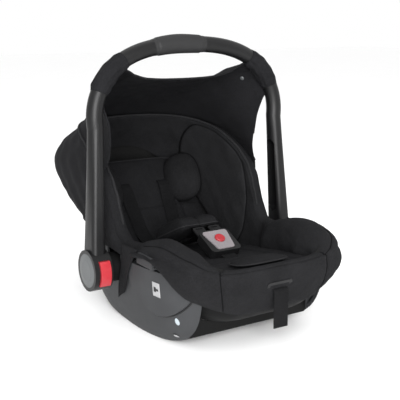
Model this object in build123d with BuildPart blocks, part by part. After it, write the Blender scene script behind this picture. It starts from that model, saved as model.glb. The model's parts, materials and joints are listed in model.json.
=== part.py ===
"""Infant car seat: bucket shell on a rocker base, carry handle with locking hubs, canopy, harness.

Millimetres. +Z is up, the child's head is at +Y and the feet at -Y, so the seat faces -Y.
The child's right is at -X. The origin lies on the floor, under the middle of the seat.
"""

import os
from math import atan2, copysign, cos, radians, sin

from build123d import *

os.makedirs("parts", exist_ok=True)

# Bucket outline at each height: height, rear end, front end, half width
bucket_levels = [
    (45, 106, -224, 100),
    (80, 156, -280, 138),
    (130, 221, -292, 157),
    (200, 288, -292, 166),
    (270, 300, -290, 168),
    (330, 270, -290, 166),
    (385, 221, -290, 158),
]
widest_y = -4
rear_power = 2.5
front_power = 5.0
outline_steps = 16
arch_steps = 8
floor_blend = 150

# Layers of the bucket, from the outside to the inside
shell_wall = 4.0
foam_thickness = 8.0
cover_thickness = 4.0
layer_gap = 0.4
rim_cap = 7.0

# Side view of the rim, from the feet to the head
rim_line = [(-345, 136), (-290, 146), (-249, 172), (-190, 182), (-124, 168), (-84, 156), (-60, 156),
            (-34, 170), (-12, 215), (12, 262), (46, 292), (114, 323), (201, 340), (266, 345), (345, 347)]
# Side view of the hem of the cover, in the same order
hem_line = [(-345, 60), (-296, 72), (-268, 108), (-239, 134), (-184, 142), (-109, 140),
            (16, 150), (106, 160), (226, 180), (345, 192)]
hem_step = 2.0

# Rocker base outline at each height: height, rear end, front end, half width
base_levels = [
    (0, 128, -184, 147),
    (45, 181, -254, 164),
    (110, 223, -272, 171),
    (195, 244, -276, 176),
]
base_wall = 4.0
rocker_front_radius = 190
rocker_rear_radius = 420
rocker_sweep = 50
rocker_flat = 84
rocker_middle_y = -84
rocker_lip = 13.0
rocker_width = 44
end_lift = 12.0
web_thickness = 4.0
web_places = (-94, 66)
front_wall_y = -214
skid_inside = 128
moon_radius = 90
moon_middle = (-171, 150)
moon_height = 4.0
screw_spread = 62
screw_radius = 2.0
screw_head_radius = 4.5
screw_boss_radius = 7.5
screw_recess = 6.0

# Handle and its hubs
hub_y = -26
hub_z = 110
handle_lean = 2.5
handle_reach = 400
handle_half_width = 198
handle_bar_radius = 15
shoulder_start = 256
leg_depth = 44
leg_thickness = 29
leg_corner = 8
leg_foot = 30
channel_width = 25
channel_skin = 5.0
channel_middle = 104
channel_length = 150
grip_length = 108
grip_bulge = 2.0
grip_thickness = 3.0
hub_radius = 38
hub_wall = 3.5
hub_inner_face = 193.0
hub_outer_face = 228.0
hub_plate = 3.0
cap_radius = 31
cap_thickness = 4.0
cap_recess = 2.0
cap_dome = 12.0
boss_radius = 27
boss_gap = 0.5
boss_root = 10.0
pin_radius = 8.0
pin_depth = 20.0
pin_head_radius = 13.0
pin_head = 1.5
running_clearance = 0.05
sleeve_wall = 4.0
ring_radius = 21
ring_neck_radius = 17
ring_thickness = 11
notch_depth = 3.0
notch_width = 7.0
lock_angles = (0, 45, 92)
pawl_gap = 0.4
pawl_thickness = 4.0
pawl_rim = 4.0
button_travel = 4.0
button_width = 20.0
button_height = 46.0
button_proud = 4.0
button_flange = 1.5
fit_gap = 0.3
spring_radius = 3.4
spring_wire = 0.6
spring_turns = 4

# Belt guides
hook_y = -153
hook_z = 143
hook_length = 54
hook_height = 20
hook_wall = 4.0
hook_root = 40
belt_slot = 9.0
rear_guide_z = 140
rear_guide_length = 60

# Inside of the seat
bight = (91, 92)
back_angle = 52
seat_angle = 8.5
pad_gap = 0.6
insert_up = 212
bolster_length = 96
bolster_depth = 58
bolster_thickness = 40
bolster_spread = 92
bolster_up = 145
bolster_turn = 12
bolster_edge = 6.0

# Harness
web_width = 30
web_gauge = 2.0
strap_spread = 50
strap_up = 150
strap_depth = 22
strap_room = 1.0
strap_bend = 26
strap_lift = 9.0
strap_clear = 2.5
strap_corner = 1.5
pad_length = 84
pad_width = 37
pad_thickness = 12
pad_offset = 16
buckle_forward = 230
buckle_lift = -0.8
buckle_tilt = 34
buckle_length = 60
buckle_width = 64
buckle_thickness = 20
buckle_corner = 9
buckle_edge = 3.0
plate_margin = 5.0
plate_taper = 80
plate_thickness = 2.0
buckle_button_radius = 10
buckle_button_place = 2.0
buckle_bore_depth = 12
buckle_button_travel = 3.0
buckle_button_proud = 3.5
buckle_spring_room = 3.0
tongue_spread = 17
tongue_width = 24
tongue_length = 36
tongue_gauge = 3.0
tongue_entry = 14
tongue_corner = 4.0
tongue_bar = 5.0
crotch_forward = 250
anchor_z = 36
anchor_height = 16
anchor_wall = 4.0
crotch_pad_forward = 333
crotch_pad_width = 96
crotch_pad_length = 50
crotch_pad_thickness = 12
adjuster_z = 118
adjuster_width = 52
adjuster_height = 20
adjuster_corner = 5.0
adjuster_margin = 3.0
adjuster_frame_depth = 5.0
throat_width = 40
throat_height = 9.4
throat_depth = 22
lever_length = 14
lever_thickness = 2.2
lever_pin_radius = 1.1
lever_level = 0.3
lever_inset = 7.0
tail_level = -3.4
tail_reach = 10
strap_tail = 66

# Canopy
canopy_thickness = 3.0
canopy_gap = 0.6
canopy_hem_z = 196
canopy_front_y = 40
canopy_front_z = 298
canopy_rear_y = 258
canopy_rear_z = 352
canopy_behind = 5
hood_half_width = 180
hood_foot = 314
hood_shoulder = 138
hood_top = 360
hood_sag = 28
sleeve_gap = 0.5
sleeve_from = 0.11
sleeve_to = 0.25
sleeve_overrun = 0.02

far = 400.0
hands = ((-1, "right"), (1, "left"))


def rounded(angle):
    """Across and along shares of an outline that is fuller than an ellipse, most of all at the front."""
    power = front_power if sin(radians(angle)) < 0 else rear_power
    across = copysign(abs(cos(radians(angle))) ** (2 / power), cos(radians(angle)))
    along = copysign(abs(sin(radians(angle))) ** (2 / power), sin(radians(angle)))
    return across, along


def egg(rear, front, half_width):
    """Points of a closed plan outline with different lengths to the rear and to the front."""
    points = []
    for step in range(outline_steps):
        across, along = rounded(90 + 360 * step / outline_steps)
        length = rear - widest_y if along > 0 else widest_y - front
        points.append((half_width * across, widest_y + length * along))
    return points


def arch(half_width, length):
    """Points of half an outline, from the right end over the top to the left end."""
    shares = [rounded(180 - 180 * step / arch_steps) for step in range(arch_steps + 1)]
    return [(half_width * across, length * abs(along)) for across, along in shares]


def hull(levels, grow):
    """Boat-shaped solid through the levels, grown outward, and near its floor also downward."""
    floor_height = levels[0][0]
    with BuildPart() as body:
        for height, rear, front, half_width in levels:
            drop = grow * max(0, 1 - (height - floor_height) / floor_blend)
            with BuildSketch(Plane.XY.offset(height - drop)):
                with BuildLine():
                    Spline(*egg(rear + grow, front - grow, half_width + grow), periodic=True)
                make_face()
        loft()
    return body.part


def side_region(line, lift, end_z):
    """Solid across the whole width, between a side-view line that is lifted and the height end_z."""
    points = [(y, z + lift) for y, z in line]
    with BuildPart() as region:
        with BuildSketch(Plane.YZ):
            with BuildLine():
                Spline(*points)
                Polyline(points[-1], (points[-1][0], end_z), (points[0][0], end_z), points[0])
            make_face()
        extrude(amount=far, both=True)
    return region.part


def save(builder, name):
    builder.part.label = name
    export_step(builder.part, f"parts/{name}.step")


# Surfaces that the layers of the bucket share
foam_outside = -shell_wall - layer_gap
foam_inside = foam_outside - foam_thickness
lining_outside = foam_inside - 2 * layer_gap
lining_inside = lining_outside - cover_thickness
skirt_inside = layer_gap
skirt_outside = skirt_inside + cover_thickness

bucket = hull(bucket_levels, 0)
bucket_inside = hull(bucket_levels, -shell_wall)
bucket_clear = hull(bucket_levels, layer_gap)
above_rim = side_region(rim_line, 0, far)
hub_axis = Plane(origin=(0, hub_y, hub_z), x_dir=(0, 1, 0), z_dir=(1, 0, 0))
boss_end = hub_inner_face - boss_gap


def screw_places():
    return [(x, y) for x in (-screw_spread, screw_spread) for y in web_places]


# Planes of the seat and back surfaces: local Y runs up the back, and back along the seat
bight_point = (0, bight[0], bight[1])
back_way = radians(back_angle)
seat_way = radians(seat_angle)
back_plane = Plane(bight_point, x_dir=(1, 0, 0), z_dir=(0, -sin(back_way), cos(back_way)))
seat_plane = Plane(bight_point, x_dir=(1, 0, 0), z_dir=(0, sin(seat_way), cos(seat_way)))
back_axis = Axis(back_plane.origin, back_plane.z_dir)
seat_axis = Axis(seat_plane.origin, seat_plane.z_dir)
crotch_point = seat_plane.from_local_coords((0, -crotch_forward, 0))
seat_room = hull(bucket_levels, lining_inside - pad_gap)

# Plane on the front of the skirt where the strap adjuster sits, facing the feet
low_level, high_level = bucket_levels[1], bucket_levels[2]
front_slope = (high_level[2] - low_level[2]) / (high_level[0] - low_level[0])
front_y = low_level[2] + front_slope * (adjuster_z - low_level[0]) - skirt_outside
front_plane = Plane((0, front_y, adjuster_z), x_dir=(1, 0, 0), z_dir=(0, -1, front_slope))
lever_place = front_plane.from_local_coords((0, lever_level, -lever_inset))
lever_axis_plane = Plane(lever_place, x_dir=front_plane.y_dir, z_dir=(1, 0, 0))

# Opening through every layer of the front wall for the strap adjuster
with BuildPart() as adjuster_hole:
    with BuildSketch(front_plane):
        Rectangle(adjuster_width - adjuster_margin, adjuster_height - adjuster_margin)
    extrude(amount=throat_depth + adjuster_margin, both=True)

# Opening through every layer under the seat for the crotch strap
with BuildPart() as crotch_slot:
    with Locations((0, crotch_point.Y, crotch_point.Z)):
        Box(web_width + 2 * strap_room, web_gauge + 2 * strap_room, 2 * crotch_point.Z)

# Shell of the bucket with the two bosses that carry the handle
with BuildPart() as seat_shell:
    for side, hand in hands:
        with BuildSketch(hub_axis.offset(side * boss_end)):
            Circle(boss_radius)
        extrude(amount=-side * (boss_end - bucket_levels[1][3] + boss_root))
    add(bucket)
    add(bucket_inside, mode=Mode.SUBTRACT)
    add(above_rim, mode=Mode.SUBTRACT)
    for side, hand in hands:
        with BuildSketch(hub_axis.offset(side * boss_end)):
            Circle(pin_radius)
        extrude(amount=-side * (pin_depth + fit_gap), mode=Mode.SUBTRACT)
    with Locations(*[(x, y, 0) for x, y in screw_places()]):
        Cylinder(screw_radius, far, mode=Mode.SUBTRACT)
    add(adjuster_hole.part, mode=Mode.SUBTRACT)
    add(crotch_slot.part, mode=Mode.SUBTRACT)
save(seat_shell, "seat_shell")


# Solids that several pieces are cut from or against
base = hull(base_levels, 0)
base_inside = hull(base_levels, -base_wall)
above_base = side_region(hem_line, -hem_step, far)
floor_level, floor_rear, floor_front, floor_half_width = base_levels[0]

# Outlines of the half moons on the sides, as a prism across the base
with BuildPart() as moon_prism:
    with BuildSketch(Plane.YZ):
        with Locations(moon_middle):
            Circle(moon_radius)
    extrude(amount=far, both=True)
with BuildPart() as moons:
    add(hull(base_levels, moon_height))
    add(moon_prism.part, mode=Mode.INTERSECT)

# Front wall, cross webs and screw bosses that carry the bucket
with BuildPart() as webs:
    for place in (front_wall_y, *web_places):
        with Locations((0, place, far / 2)):
            Box(far, web_thickness, far)
    with Locations(*[(x, y, far / 2) for x, y in screw_places()]):
        Cylinder(screw_boss_radius, far)
    add(base, mode=Mode.INTERSECT)

# Grey base: two side skids with rocker edges, joined by the front wall and the rear of the hull
with BuildPart() as rocker_base:
    add(base)
    add(moons.part)
    add(base_inside, mode=Mode.SUBTRACT)
    with BuildSketch(Plane.XY.offset(floor_level)):
        with BuildLine():
            inner = egg(floor_rear - rocker_lip, floor_front + rocker_lip, floor_half_width - rocker_lip)
            Spline(*inner, periodic=True)
        make_face()
    extrude(amount=2 * base_wall, both=True, mode=Mode.SUBTRACT)
    with Locations((0, front_wall_y, 0)):
        ahead = (Align.CENTER, Align.MAX, Align.CENTER)
        Box(2 * skid_inside, far, 2 * far, align=ahead, mode=Mode.SUBTRACT)
    add(webs.part)
    add(bucket_clear, mode=Mode.SUBTRACT)
    add(above_base, mode=Mode.SUBTRACT)
    with BuildSketch(Plane.YZ):
        with BuildLine():
            flat_front = rocker_middle_y - rocker_flat / 2
            flat_rear = rocker_middle_y + rocker_flat / 2
            front_arc = CenterArc((flat_front, rocker_front_radius), rocker_front_radius, -90, -rocker_sweep)
            Line((flat_front, 0), (flat_rear, 0))
            rear_arc = CenterArc((flat_rear, rocker_rear_radius), rocker_rear_radius, -90, rocker_sweep)
            Polyline(rear_arc @ 1, ((rear_arc @ 1).X, -far), ((front_arc @ 1).X, -far), front_arc @ 1)
        make_face()
    extrude(amount=far, both=True, mode=Mode.SUBTRACT)
    Box(2 * (floor_half_width - rocker_width), 2 * far, 2 * end_lift, mode=Mode.SUBTRACT)
    with BuildSketch(hub_axis):
        Circle(boss_radius + layer_gap)
        with Locations((0, far / 2)):
            Rectangle(2 * (boss_radius + layer_gap), far)
    extrude(amount=far, both=True, mode=Mode.SUBTRACT)
    with Locations(*[(x, y, end_lift) for x, y in screw_places()]):
        Cylinder(screw_radius, far, mode=Mode.SUBTRACT)
        Cylinder(screw_head_radius + fit_gap, 2 * screw_recess, mode=Mode.SUBTRACT)
save(rocker_base, "rocker_base")

# Screws that hold the base to the bucket
screw_seat = end_lift + screw_recess
screw_end = bucket_levels[0][0] + shell_wall
with BuildPart() as base_screws:
    with BuildSketch(Plane.XY.offset(screw_seat)):
        with Locations(*screw_places()):
            Circle(screw_radius)
    extrude(amount=screw_end - screw_seat)
    with BuildSketch(Plane.XY.offset(screw_seat)):
        with Locations(*screw_places()):
            Circle(screw_head_radius)
    extrude(amount=-screw_head_radius / 2)
save(base_screws, "base_screws")

# Foam between the shell and the lining of the cover
with BuildPart() as foam_liner:
    add(hull(bucket_levels, foam_outside))
    add(hull(bucket_levels, foam_inside), mode=Mode.SUBTRACT)
    add(side_region(rim_line, -2 * layer_gap, far), mode=Mode.SUBTRACT)
    add(adjuster_hole.part, mode=Mode.SUBTRACT)
    add(crotch_slot.part, mode=Mode.SUBTRACT)
save(foam_liner, "foam_liner")

# Fabric cover: lining, cap over the rim and skirt with an arch at each belt guide
with BuildPart() as rim_core:
    add(bucket_clear)
    add(hull(bucket_levels, lining_outside), mode=Mode.SUBTRACT)
    add(side_region(rim_line, layer_gap, far), mode=Mode.SUBTRACT)
with BuildPart() as below_hem:
    add(side_region(hem_line, 0, -far))
    with BuildSketch(Plane.YZ):
        with Locations((hook_y, hook_z)):
            SlotOverall(hook_length + 4 * hook_wall, 2 * hook_height)
    extrude(amount=far, both=True)
    add(bucket, mode=Mode.SUBTRACT)
with BuildPart() as seat_cover:
    add(hull(bucket_levels, skirt_outside))
    add(hull(bucket_levels, lining_inside), mode=Mode.SUBTRACT)
    add(side_region(rim_line, rim_cap, far), mode=Mode.SUBTRACT)
    add(rim_core.part, mode=Mode.SUBTRACT)
    add(below_hem.part, mode=Mode.SUBTRACT)
    add(adjuster_hole.part, mode=Mode.SUBTRACT)
    add(crotch_slot.part, mode=Mode.SUBTRACT)
save(seat_cover, "seat_cover")

# Lap belt guides: a hook on each side of the bucket, open at the top
hook_reach = bucket_levels[3][3] + belt_slot + hook_wall
for side, hand in hands:
    with BuildPart() as belt_hook:
        with BuildSketch(Plane.XZ.offset(-hook_y - hook_length / 2)):
            with BuildLine():
                Polyline(
                    (side * (hook_reach - hook_root), hook_z),
                    (side * hook_reach, hook_z),
                    (side * hook_reach, hook_z + hook_height),
                    (side * (hook_reach - hook_wall), hook_z + hook_height),
                    (side * (hook_reach - hook_wall), hook_z + hook_wall),
                    (side * (hook_reach - hook_root), hook_z + hook_wall),
                    close=True,
                )
            make_face()
        extrude(amount=hook_length)
        add(bucket_clear, mode=Mode.SUBTRACT)
        lip_ends = belt_hook.edges().filter_by(Axis.X).group_by(Axis.Z)[-1]
        fillet(lip_ends, hook_height / 3)
    save(belt_hook, f"belt_hook_{hand}")

# Guide for the shoulder belt on the back of the base, open at the bottom
low_base, high_base = base_levels[2], base_levels[3]
rear_slope = (high_base[1] - low_base[1]) / (high_base[0] - low_base[0])
guide_y = low_base[1] + rear_slope * (rear_guide_z - low_base[0]) + belt_slot + hook_wall
with BuildPart() as rear_belt_guide:
    with BuildSketch(Plane.YZ.offset(-rear_guide_length / 2)):
        with BuildLine():
            Polyline(
                (guide_y - hook_root, rear_guide_z),
                (guide_y, rear_guide_z),
                (guide_y, rear_guide_z - hook_height),
                (guide_y - hook_wall, rear_guide_z - hook_height),
                (guide_y - hook_wall, rear_guide_z - hook_wall),
                (guide_y - hook_root, rear_guide_z - hook_wall),
                close=True,
            )
        make_face()
    extrude(amount=rear_guide_length)
    add(hull(base_levels, fit_gap), mode=Mode.SUBTRACT)
save(rear_belt_guide, "rear_belt_guide")

# Handle plane: its X runs across the seat and its Y up along the arch
handle_plane = Plane(
    origin=(0, hub_y, hub_z),
    x_dir=(1, 0, 0),
    z_dir=(0, -cos(radians(handle_lean)), sin(radians(handle_lean))),
)
hub_middle = (hub_inner_face + hub_outer_face) / 2
with BuildLine(handle_plane) as bar_line:
    rises = arch(handle_half_width, handle_reach - shoulder_start)
    Spline(*[(x, shoulder_start + rise) for x, rise in rises])
bar_path = bar_line.edges()[0]


def bar_plane(share):
    """Plane across the bar, at a share of its length from the right shoulder to the left."""
    return Plane(origin=bar_path @ share, x_dir=handle_plane.z_dir, z_dir=bar_path % share)


def bar_stretch(start, end, radius):
    """Round bar along a stretch of the arch."""
    with BuildPart() as stretch:
        with BuildSketch(bar_plane(start)):
            Circle(radius)
        sweep(path=bar_path.trim(start, end))
    return stretch.part


# Places along the hub axis, from the seat outward
cup_mouth = hub_inner_face + hub_plate
cap_seat = hub_outer_face - cap_recess
pin_seat = cap_seat - pin_head - 2 * fit_gap
cup_floor = pin_seat - hub_wall
ring_start = cup_mouth + boss_gap
ring_end = ring_start + ring_thickness
sleeve_end = ring_end + boss_gap
button_middle = (ring_start + cup_floor) / 2
cup_inner_radius = hub_radius - hub_wall
button_inner_radius = cup_inner_radius - button_flange
pawl_start = ring_start + boss_gap + pawl_thickness
pawl_outside = ring_radius + pawl_gap + notch_depth + pawl_rim
pawl_inside = ring_radius + pawl_gap + notch_depth


def hub_disc(side, start, end, radius):
    """Disc on the hub axis of one side, between two distances from the middle of the seat."""
    with BuildPart() as disc:
        with BuildSketch(hub_axis.offset(side * start)):
            Circle(radius)
        extrude(amount=side * (end - start))
    return disc.part


def leg_foot_point(side):
    return handle_plane.from_local_coords((side * hub_middle, leg_foot, 0))


# Carry handle: round bar, channel legs and the cups of the two hubs
with BuildPart() as handle_arch:
    add(bar_stretch(0, 1, handle_bar_radius))
    for side, hand in hands:
        end = 0 if side < 0 else 1
        with BuildSketch(bar_plane(end)):
            Circle(handle_bar_radius)
        with BuildSketch(Plane(leg_foot_point(side), handle_plane.z_dir, bar_path % end)):
            RectangleRounded(leg_depth, leg_thickness - 2 * boss_gap, leg_corner)
        loft()
        add(hub_disc(side, cup_mouth, hub_outer_face, hub_radius))
    for side, hand in hands:
        add(hub_disc(side, cup_mouth, cup_floor, cup_inner_radius), mode=Mode.SUBTRACT)
        add(hub_disc(side, sleeve_end, cup_floor, pin_radius + running_clearance + sleeve_wall))
        add(hub_disc(side, cap_seat, hub_outer_face, cap_radius + running_clearance), mode=Mode.SUBTRACT)
        add(hub_disc(side, pin_seat, hub_outer_face, pin_head_radius + fit_gap), mode=Mode.SUBTRACT)
        add(hub_disc(side, cup_mouth, hub_outer_face, pin_radius + running_clearance), mode=Mode.SUBTRACT)
        with Locations((side * button_middle, hub_y - hub_radius, hub_z)):
            window = button_width + 2 * fit_gap, 2 * (hub_radius - pawl_inside), button_height + 2 * fit_gap
            Box(*window, mode=Mode.SUBTRACT)
        end = 0 if side < 0 else 1
        leg_top = bar_path @ end
        leg_way = (leg_top - leg_foot_point(side)).normalized()
        channel_plane = Plane(
            origin=leg_foot_point(side) + leg_way * channel_middle,
            x_dir=leg_way,
            z_dir=handle_plane.z_dir.cross(leg_way),
        )
        outward = 1 if channel_plane.z_dir.X * side > 0 else -1
        with BuildSketch(channel_plane.offset(outward * (leg_thickness / 2 - channel_skin))):
            SlotOverall(channel_length, channel_width)
        extrude(amount=-outward * 2 * leg_thickness, mode=Mode.SUBTRACT)
save(handle_arch, "handle_arch")

# Soft grip in the middle of the bar
grip_share = grip_length / bar_path.length / 2
with BuildPart() as handle_grip:
    with BuildSketch(bar_plane(0.5 - grip_share)):
        with Locations((0, grip_bulge)):
            Circle(handle_bar_radius + grip_thickness)
    sweep(path=bar_path.trim(0.5 - grip_share, 0.5 + grip_share))
    bore = bar_stretch(0.5 - 2 * grip_share, 0.5 + 2 * grip_share, handle_bar_radius + running_clearance)
    add(bore, mode=Mode.SUBTRACT)
save(handle_grip, "handle_grip")

for side, hand in hands:
    # Plate that closes the hub towards the seat
    with BuildPart() as hub_plate_piece:
        add(hub_disc(side, hub_inner_face, cup_mouth, hub_radius))
        add(hub_disc(side, 0, hub_outer_face, ring_neck_radius + fit_gap), mode=Mode.SUBTRACT)
    save(hub_plate_piece, f"hub_plate_{hand}")

    # Round cap on the outside of the hub, slightly domed at its edge
    with BuildPart() as hub_cap:
        add(hub_disc(side, cap_seat, cap_seat + cap_thickness, cap_radius))
        outer_edge = hub_cap.edges().filter_by(GeomType.CIRCLE).sort_by(Axis.X)
        chamfer(outer_edge[-1] if side > 0 else outer_edge[0], cap_thickness - cap_recess, cap_dome)
    save(hub_cap, f"hub_cap_{hand}")

    # Pivot pin that holds the lock ring on the boss and carries the handle
    with BuildPart() as pivot_pin:
        add(hub_disc(side, boss_end - pin_depth, pin_seat, pin_radius))
        add(hub_disc(side, pin_seat + fit_gap, pin_seat + fit_gap + pin_head, pin_head_radius))
        add(hub_disc(side, pin_seat, pin_seat + fit_gap, pin_radius))
    save(pivot_pin, f"pivot_pin_{hand}")

    # Lock ring with a notch for each place of the handle
    with BuildPart() as lock_ring:
        add(hub_disc(side, boss_end, ring_start, ring_neck_radius))
        add(hub_disc(side, ring_start, ring_end, ring_radius))
        for angle in lock_angles:
            turn = Plane(hub_axis.origin, x_dir=hub_axis.x_dir.rotate(Axis.X, -angle), z_dir=hub_axis.z_dir)
            with BuildSketch(turn.offset(side * ring_start)):
                with Locations((ring_radius, 0)):
                    Rectangle(2 * notch_depth, notch_width)
            extrude(amount=side * ring_thickness, mode=Mode.SUBTRACT)
        add(hub_disc(side, 0, hub_outer_face, pin_radius), mode=Mode.SUBTRACT)
    save(lock_ring, f"lock_ring_{hand}")

    # Release button: curved bar in the front of the hub
    with BuildPart() as release_button:
        start = button_middle - button_width / 2
        add(hub_disc(side, start, start + button_width, hub_radius + button_proud))
        add(hub_disc(side, start, start + button_width, button_inner_radius), mode=Mode.SUBTRACT)
        with Locations((side * button_middle, hub_y - far / 2, hub_z)):
            Box(far, far, button_height, mode=Mode.INTERSECT)
    save(release_button, f"release_button_{hand}")

    # Pawl: frame round the ring, pushed back with the button, with its tooth behind the ring
    with BuildPart() as lock_pawl:
        with BuildSketch(hub_axis.offset(side * pawl_start)):
            with Locations((-button_travel / 2, 0)):
                SlotOverall(button_travel + 2 * pawl_outside, 2 * pawl_outside)
            with Locations((-button_inner_radius, 0)):
                Rectangle(4 * pawl_rim, 4 * pawl_rim)
            with Locations((-button_travel / 2, 0)):
                SlotOverall(button_travel + 2 * pawl_inside, 2 * pawl_inside, mode=Mode.SUBTRACT)
            with Locations((ring_radius + pawl_gap + notch_depth, 0)):
                Rectangle(2 * notch_depth, notch_width - 2 * pawl_gap)
        extrude(amount=side * pawl_thickness)
        add(release_button.part, mode=Mode.SUBTRACT)
        add(hub_disc(side, hub_inner_face, hub_outer_face, button_inner_radius), mode=Mode.INTERSECT)
    save(lock_pawl, f"lock_pawl_{hand}")

    # Spring between the sleeve of the hub and the button
    spring_start = hub_y - pin_radius - running_clearance - sleeve_wall - spring_wire
    spring_length = button_inner_radius + spring_start - hub_y - 2 * spring_wire
    spring_x = side * (sleeve_end + cup_floor) / 2
    with BuildPart() as button_spring:
        with BuildLine() as coil:
            spring_foot = (spring_x, spring_start, hub_z)
            Helix(spring_length / spring_turns, spring_length, spring_radius, spring_foot, (0, -1, 0))
        with BuildSketch(Plane(origin=coil.line @ 0, z_dir=coil.line % 0)):
            Circle(spring_wire)
        sweep(path=coil.line)
    save(button_spring, f"button_spring_{hand}")

# Newborn insert: back cushion and seat cushion that fill the bucket behind and below the child
insert_top = Plane(back_plane.from_local_coords((0, insert_up, 0)), x_dir=(1, 0, 0), z_dir=back_plane.y_dir)
with BuildPart() as insert_back:
    add(seat_room)
    split(bisect_by=back_plane, keep=Keep.BOTTOM)
    split(bisect_by=insert_top, keep=Keep.BOTTOM)
    with BuildSketch(back_plane):
        with Locations((-strap_spread, strap_up), (strap_spread, strap_up)):
            Rectangle(web_width + 8 * strap_room, web_gauge + 6 * strap_room)
    extrude(amount=-strap_depth - 3 * strap_room, mode=Mode.SUBTRACT)
save(insert_back, "insert_back")
with BuildPart() as insert_seat:
    add(seat_room)
    split(bisect_by=back_plane.offset(pad_gap), keep=Keep.TOP)
    split(bisect_by=seat_plane, keep=Keep.BOTTOM)
    add(crotch_slot.part, mode=Mode.SUBTRACT)
    add(adjuster_hole.part, mode=Mode.SUBTRACT)
save(insert_seat, "insert_seat")

# Head bolsters on the back cushion
for side, hand in hands:
    with BuildPart() as head_bolster:
        with BuildSketch(back_plane.offset(pad_gap)):
            with Locations(Location((side * bolster_spread, bolster_up, 0), side * bolster_turn)):
                Ellipse(bolster_thickness / 2, bolster_length / 2)
        extrude(amount=bolster_depth)
        top_edge = head_bolster.edges().sort_by(back_axis)[-1]
        fillet(top_edge, bolster_edge)
    save(head_bolster, f"head_bolster_{hand}")

# Buckle that stands on the seat on its front edge, with local Y towards the back
buckle_way = radians(buckle_tilt) - seat_way
buckle_foot = seat_plane.from_local_coords((0, -buckle_forward, buckle_lift))
buckle_middle = buckle_foot + Vector(0, cos(buckle_way), sin(buckle_way)) * (buckle_length / 2)
buckle_plane = Plane(buckle_middle, x_dir=(1, 0, 0), z_dir=(0, -sin(buckle_way), cos(buckle_way)))
buckle_axis = Axis(buckle_plane.origin, buckle_plane.z_dir)
tongue_level = buckle_thickness / 2
button_floor = buckle_thickness - buckle_bore_depth
button_bottom = button_floor + buckle_button_travel + buckle_spring_room
button_top = buckle_thickness + plate_thickness + buckle_button_proud
tongue_mouth = Plane(
    buckle_plane.from_local_coords((0, buckle_length / 2, tongue_level)),
    x_dir=(1, 0, 0),
    z_dir=buckle_plane.y_dir,
)
with BuildPart() as buckle_body:
    with BuildSketch(buckle_plane):
        RectangleRounded(buckle_width, buckle_length, buckle_corner)
    extrude(amount=buckle_thickness)
    fillet(buckle_body.edges().group_by(buckle_axis)[0], buckle_edge)
    with BuildSketch(buckle_plane.offset(buckle_thickness)):
        with Locations((0, buckle_button_place)):
            Circle(buckle_button_radius + running_clearance)
    extrude(amount=-buckle_bore_depth, mode=Mode.SUBTRACT)
    with BuildSketch(tongue_mouth):
        with Locations((-tongue_spread, 0), (tongue_spread, 0)):
            Rectangle(tongue_width + 2 * fit_gap, tongue_gauge + 2 * fit_gap)
    extrude(amount=-tongue_entry, mode=Mode.SUBTRACT)
save(buckle_body, "buckle_body")

# Light plate on the face of the buckle, narrower towards the feet
with BuildPart() as buckle_plate:
    with BuildSketch(buckle_plane.offset(buckle_thickness)) as plate_outline:
        plate_size = buckle_width - 2 * plate_margin, buckle_length - 2 * plate_margin
        Trapezoid(*plate_size, plate_taper, rotation=180)
        fillet(plate_outline.vertices(), plate_margin)
        with Locations((0, buckle_button_place)):
            Circle(buckle_button_radius + running_clearance, mode=Mode.SUBTRACT)
    extrude(amount=plate_thickness)
save(buckle_plate, "buckle_plate")

# Release button of the buckle and its spring
with BuildPart() as buckle_button:
    with BuildSketch(buckle_plane.offset(button_bottom)):
        with Locations((0, buckle_button_place)):
            Circle(buckle_button_radius)
    extrude(amount=button_top - button_bottom)
    fillet(buckle_button.edges().sort_by(buckle_axis)[-1], buckle_button_proud / 2)
save(buckle_button, "buckle_button")
with BuildPart() as buckle_spring:
    coil_foot = buckle_plane.from_local_coords((0, buckle_button_place, button_floor + spring_wire))
    coil_length = button_bottom - button_floor - 2 * spring_wire
    with BuildLine() as coil:
        Helix(coil_length / 2, coil_length, 2 * spring_radius, coil_foot, buckle_plane.z_dir)
    with BuildSketch(Plane(origin=coil.line @ 0, z_dir=coil.line % 0)):
        Circle(spring_wire)
    sweep(path=coil.line)
save(buckle_spring, "buckle_spring")

# Tongues, shoulder straps and shoulder pads
tongue_end = buckle_length / 2 - tongue_entry + fit_gap + tongue_length
strap_start = buckle_plane.from_local_coords((0, tongue_end + strap_clear, tongue_level))
strap_slot = back_plane.from_local_coords((0, strap_up, 0))
strap_way = atan2(strap_spread - tongue_spread, strap_slot.Y - strap_start.Y)


def strap_point(point):
    """Place along and height of a point on the middle of the seat, seen square to a shoulder strap."""
    return ((point.Y - strap_start.Y) / cos(strap_way), point.Z)


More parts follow.
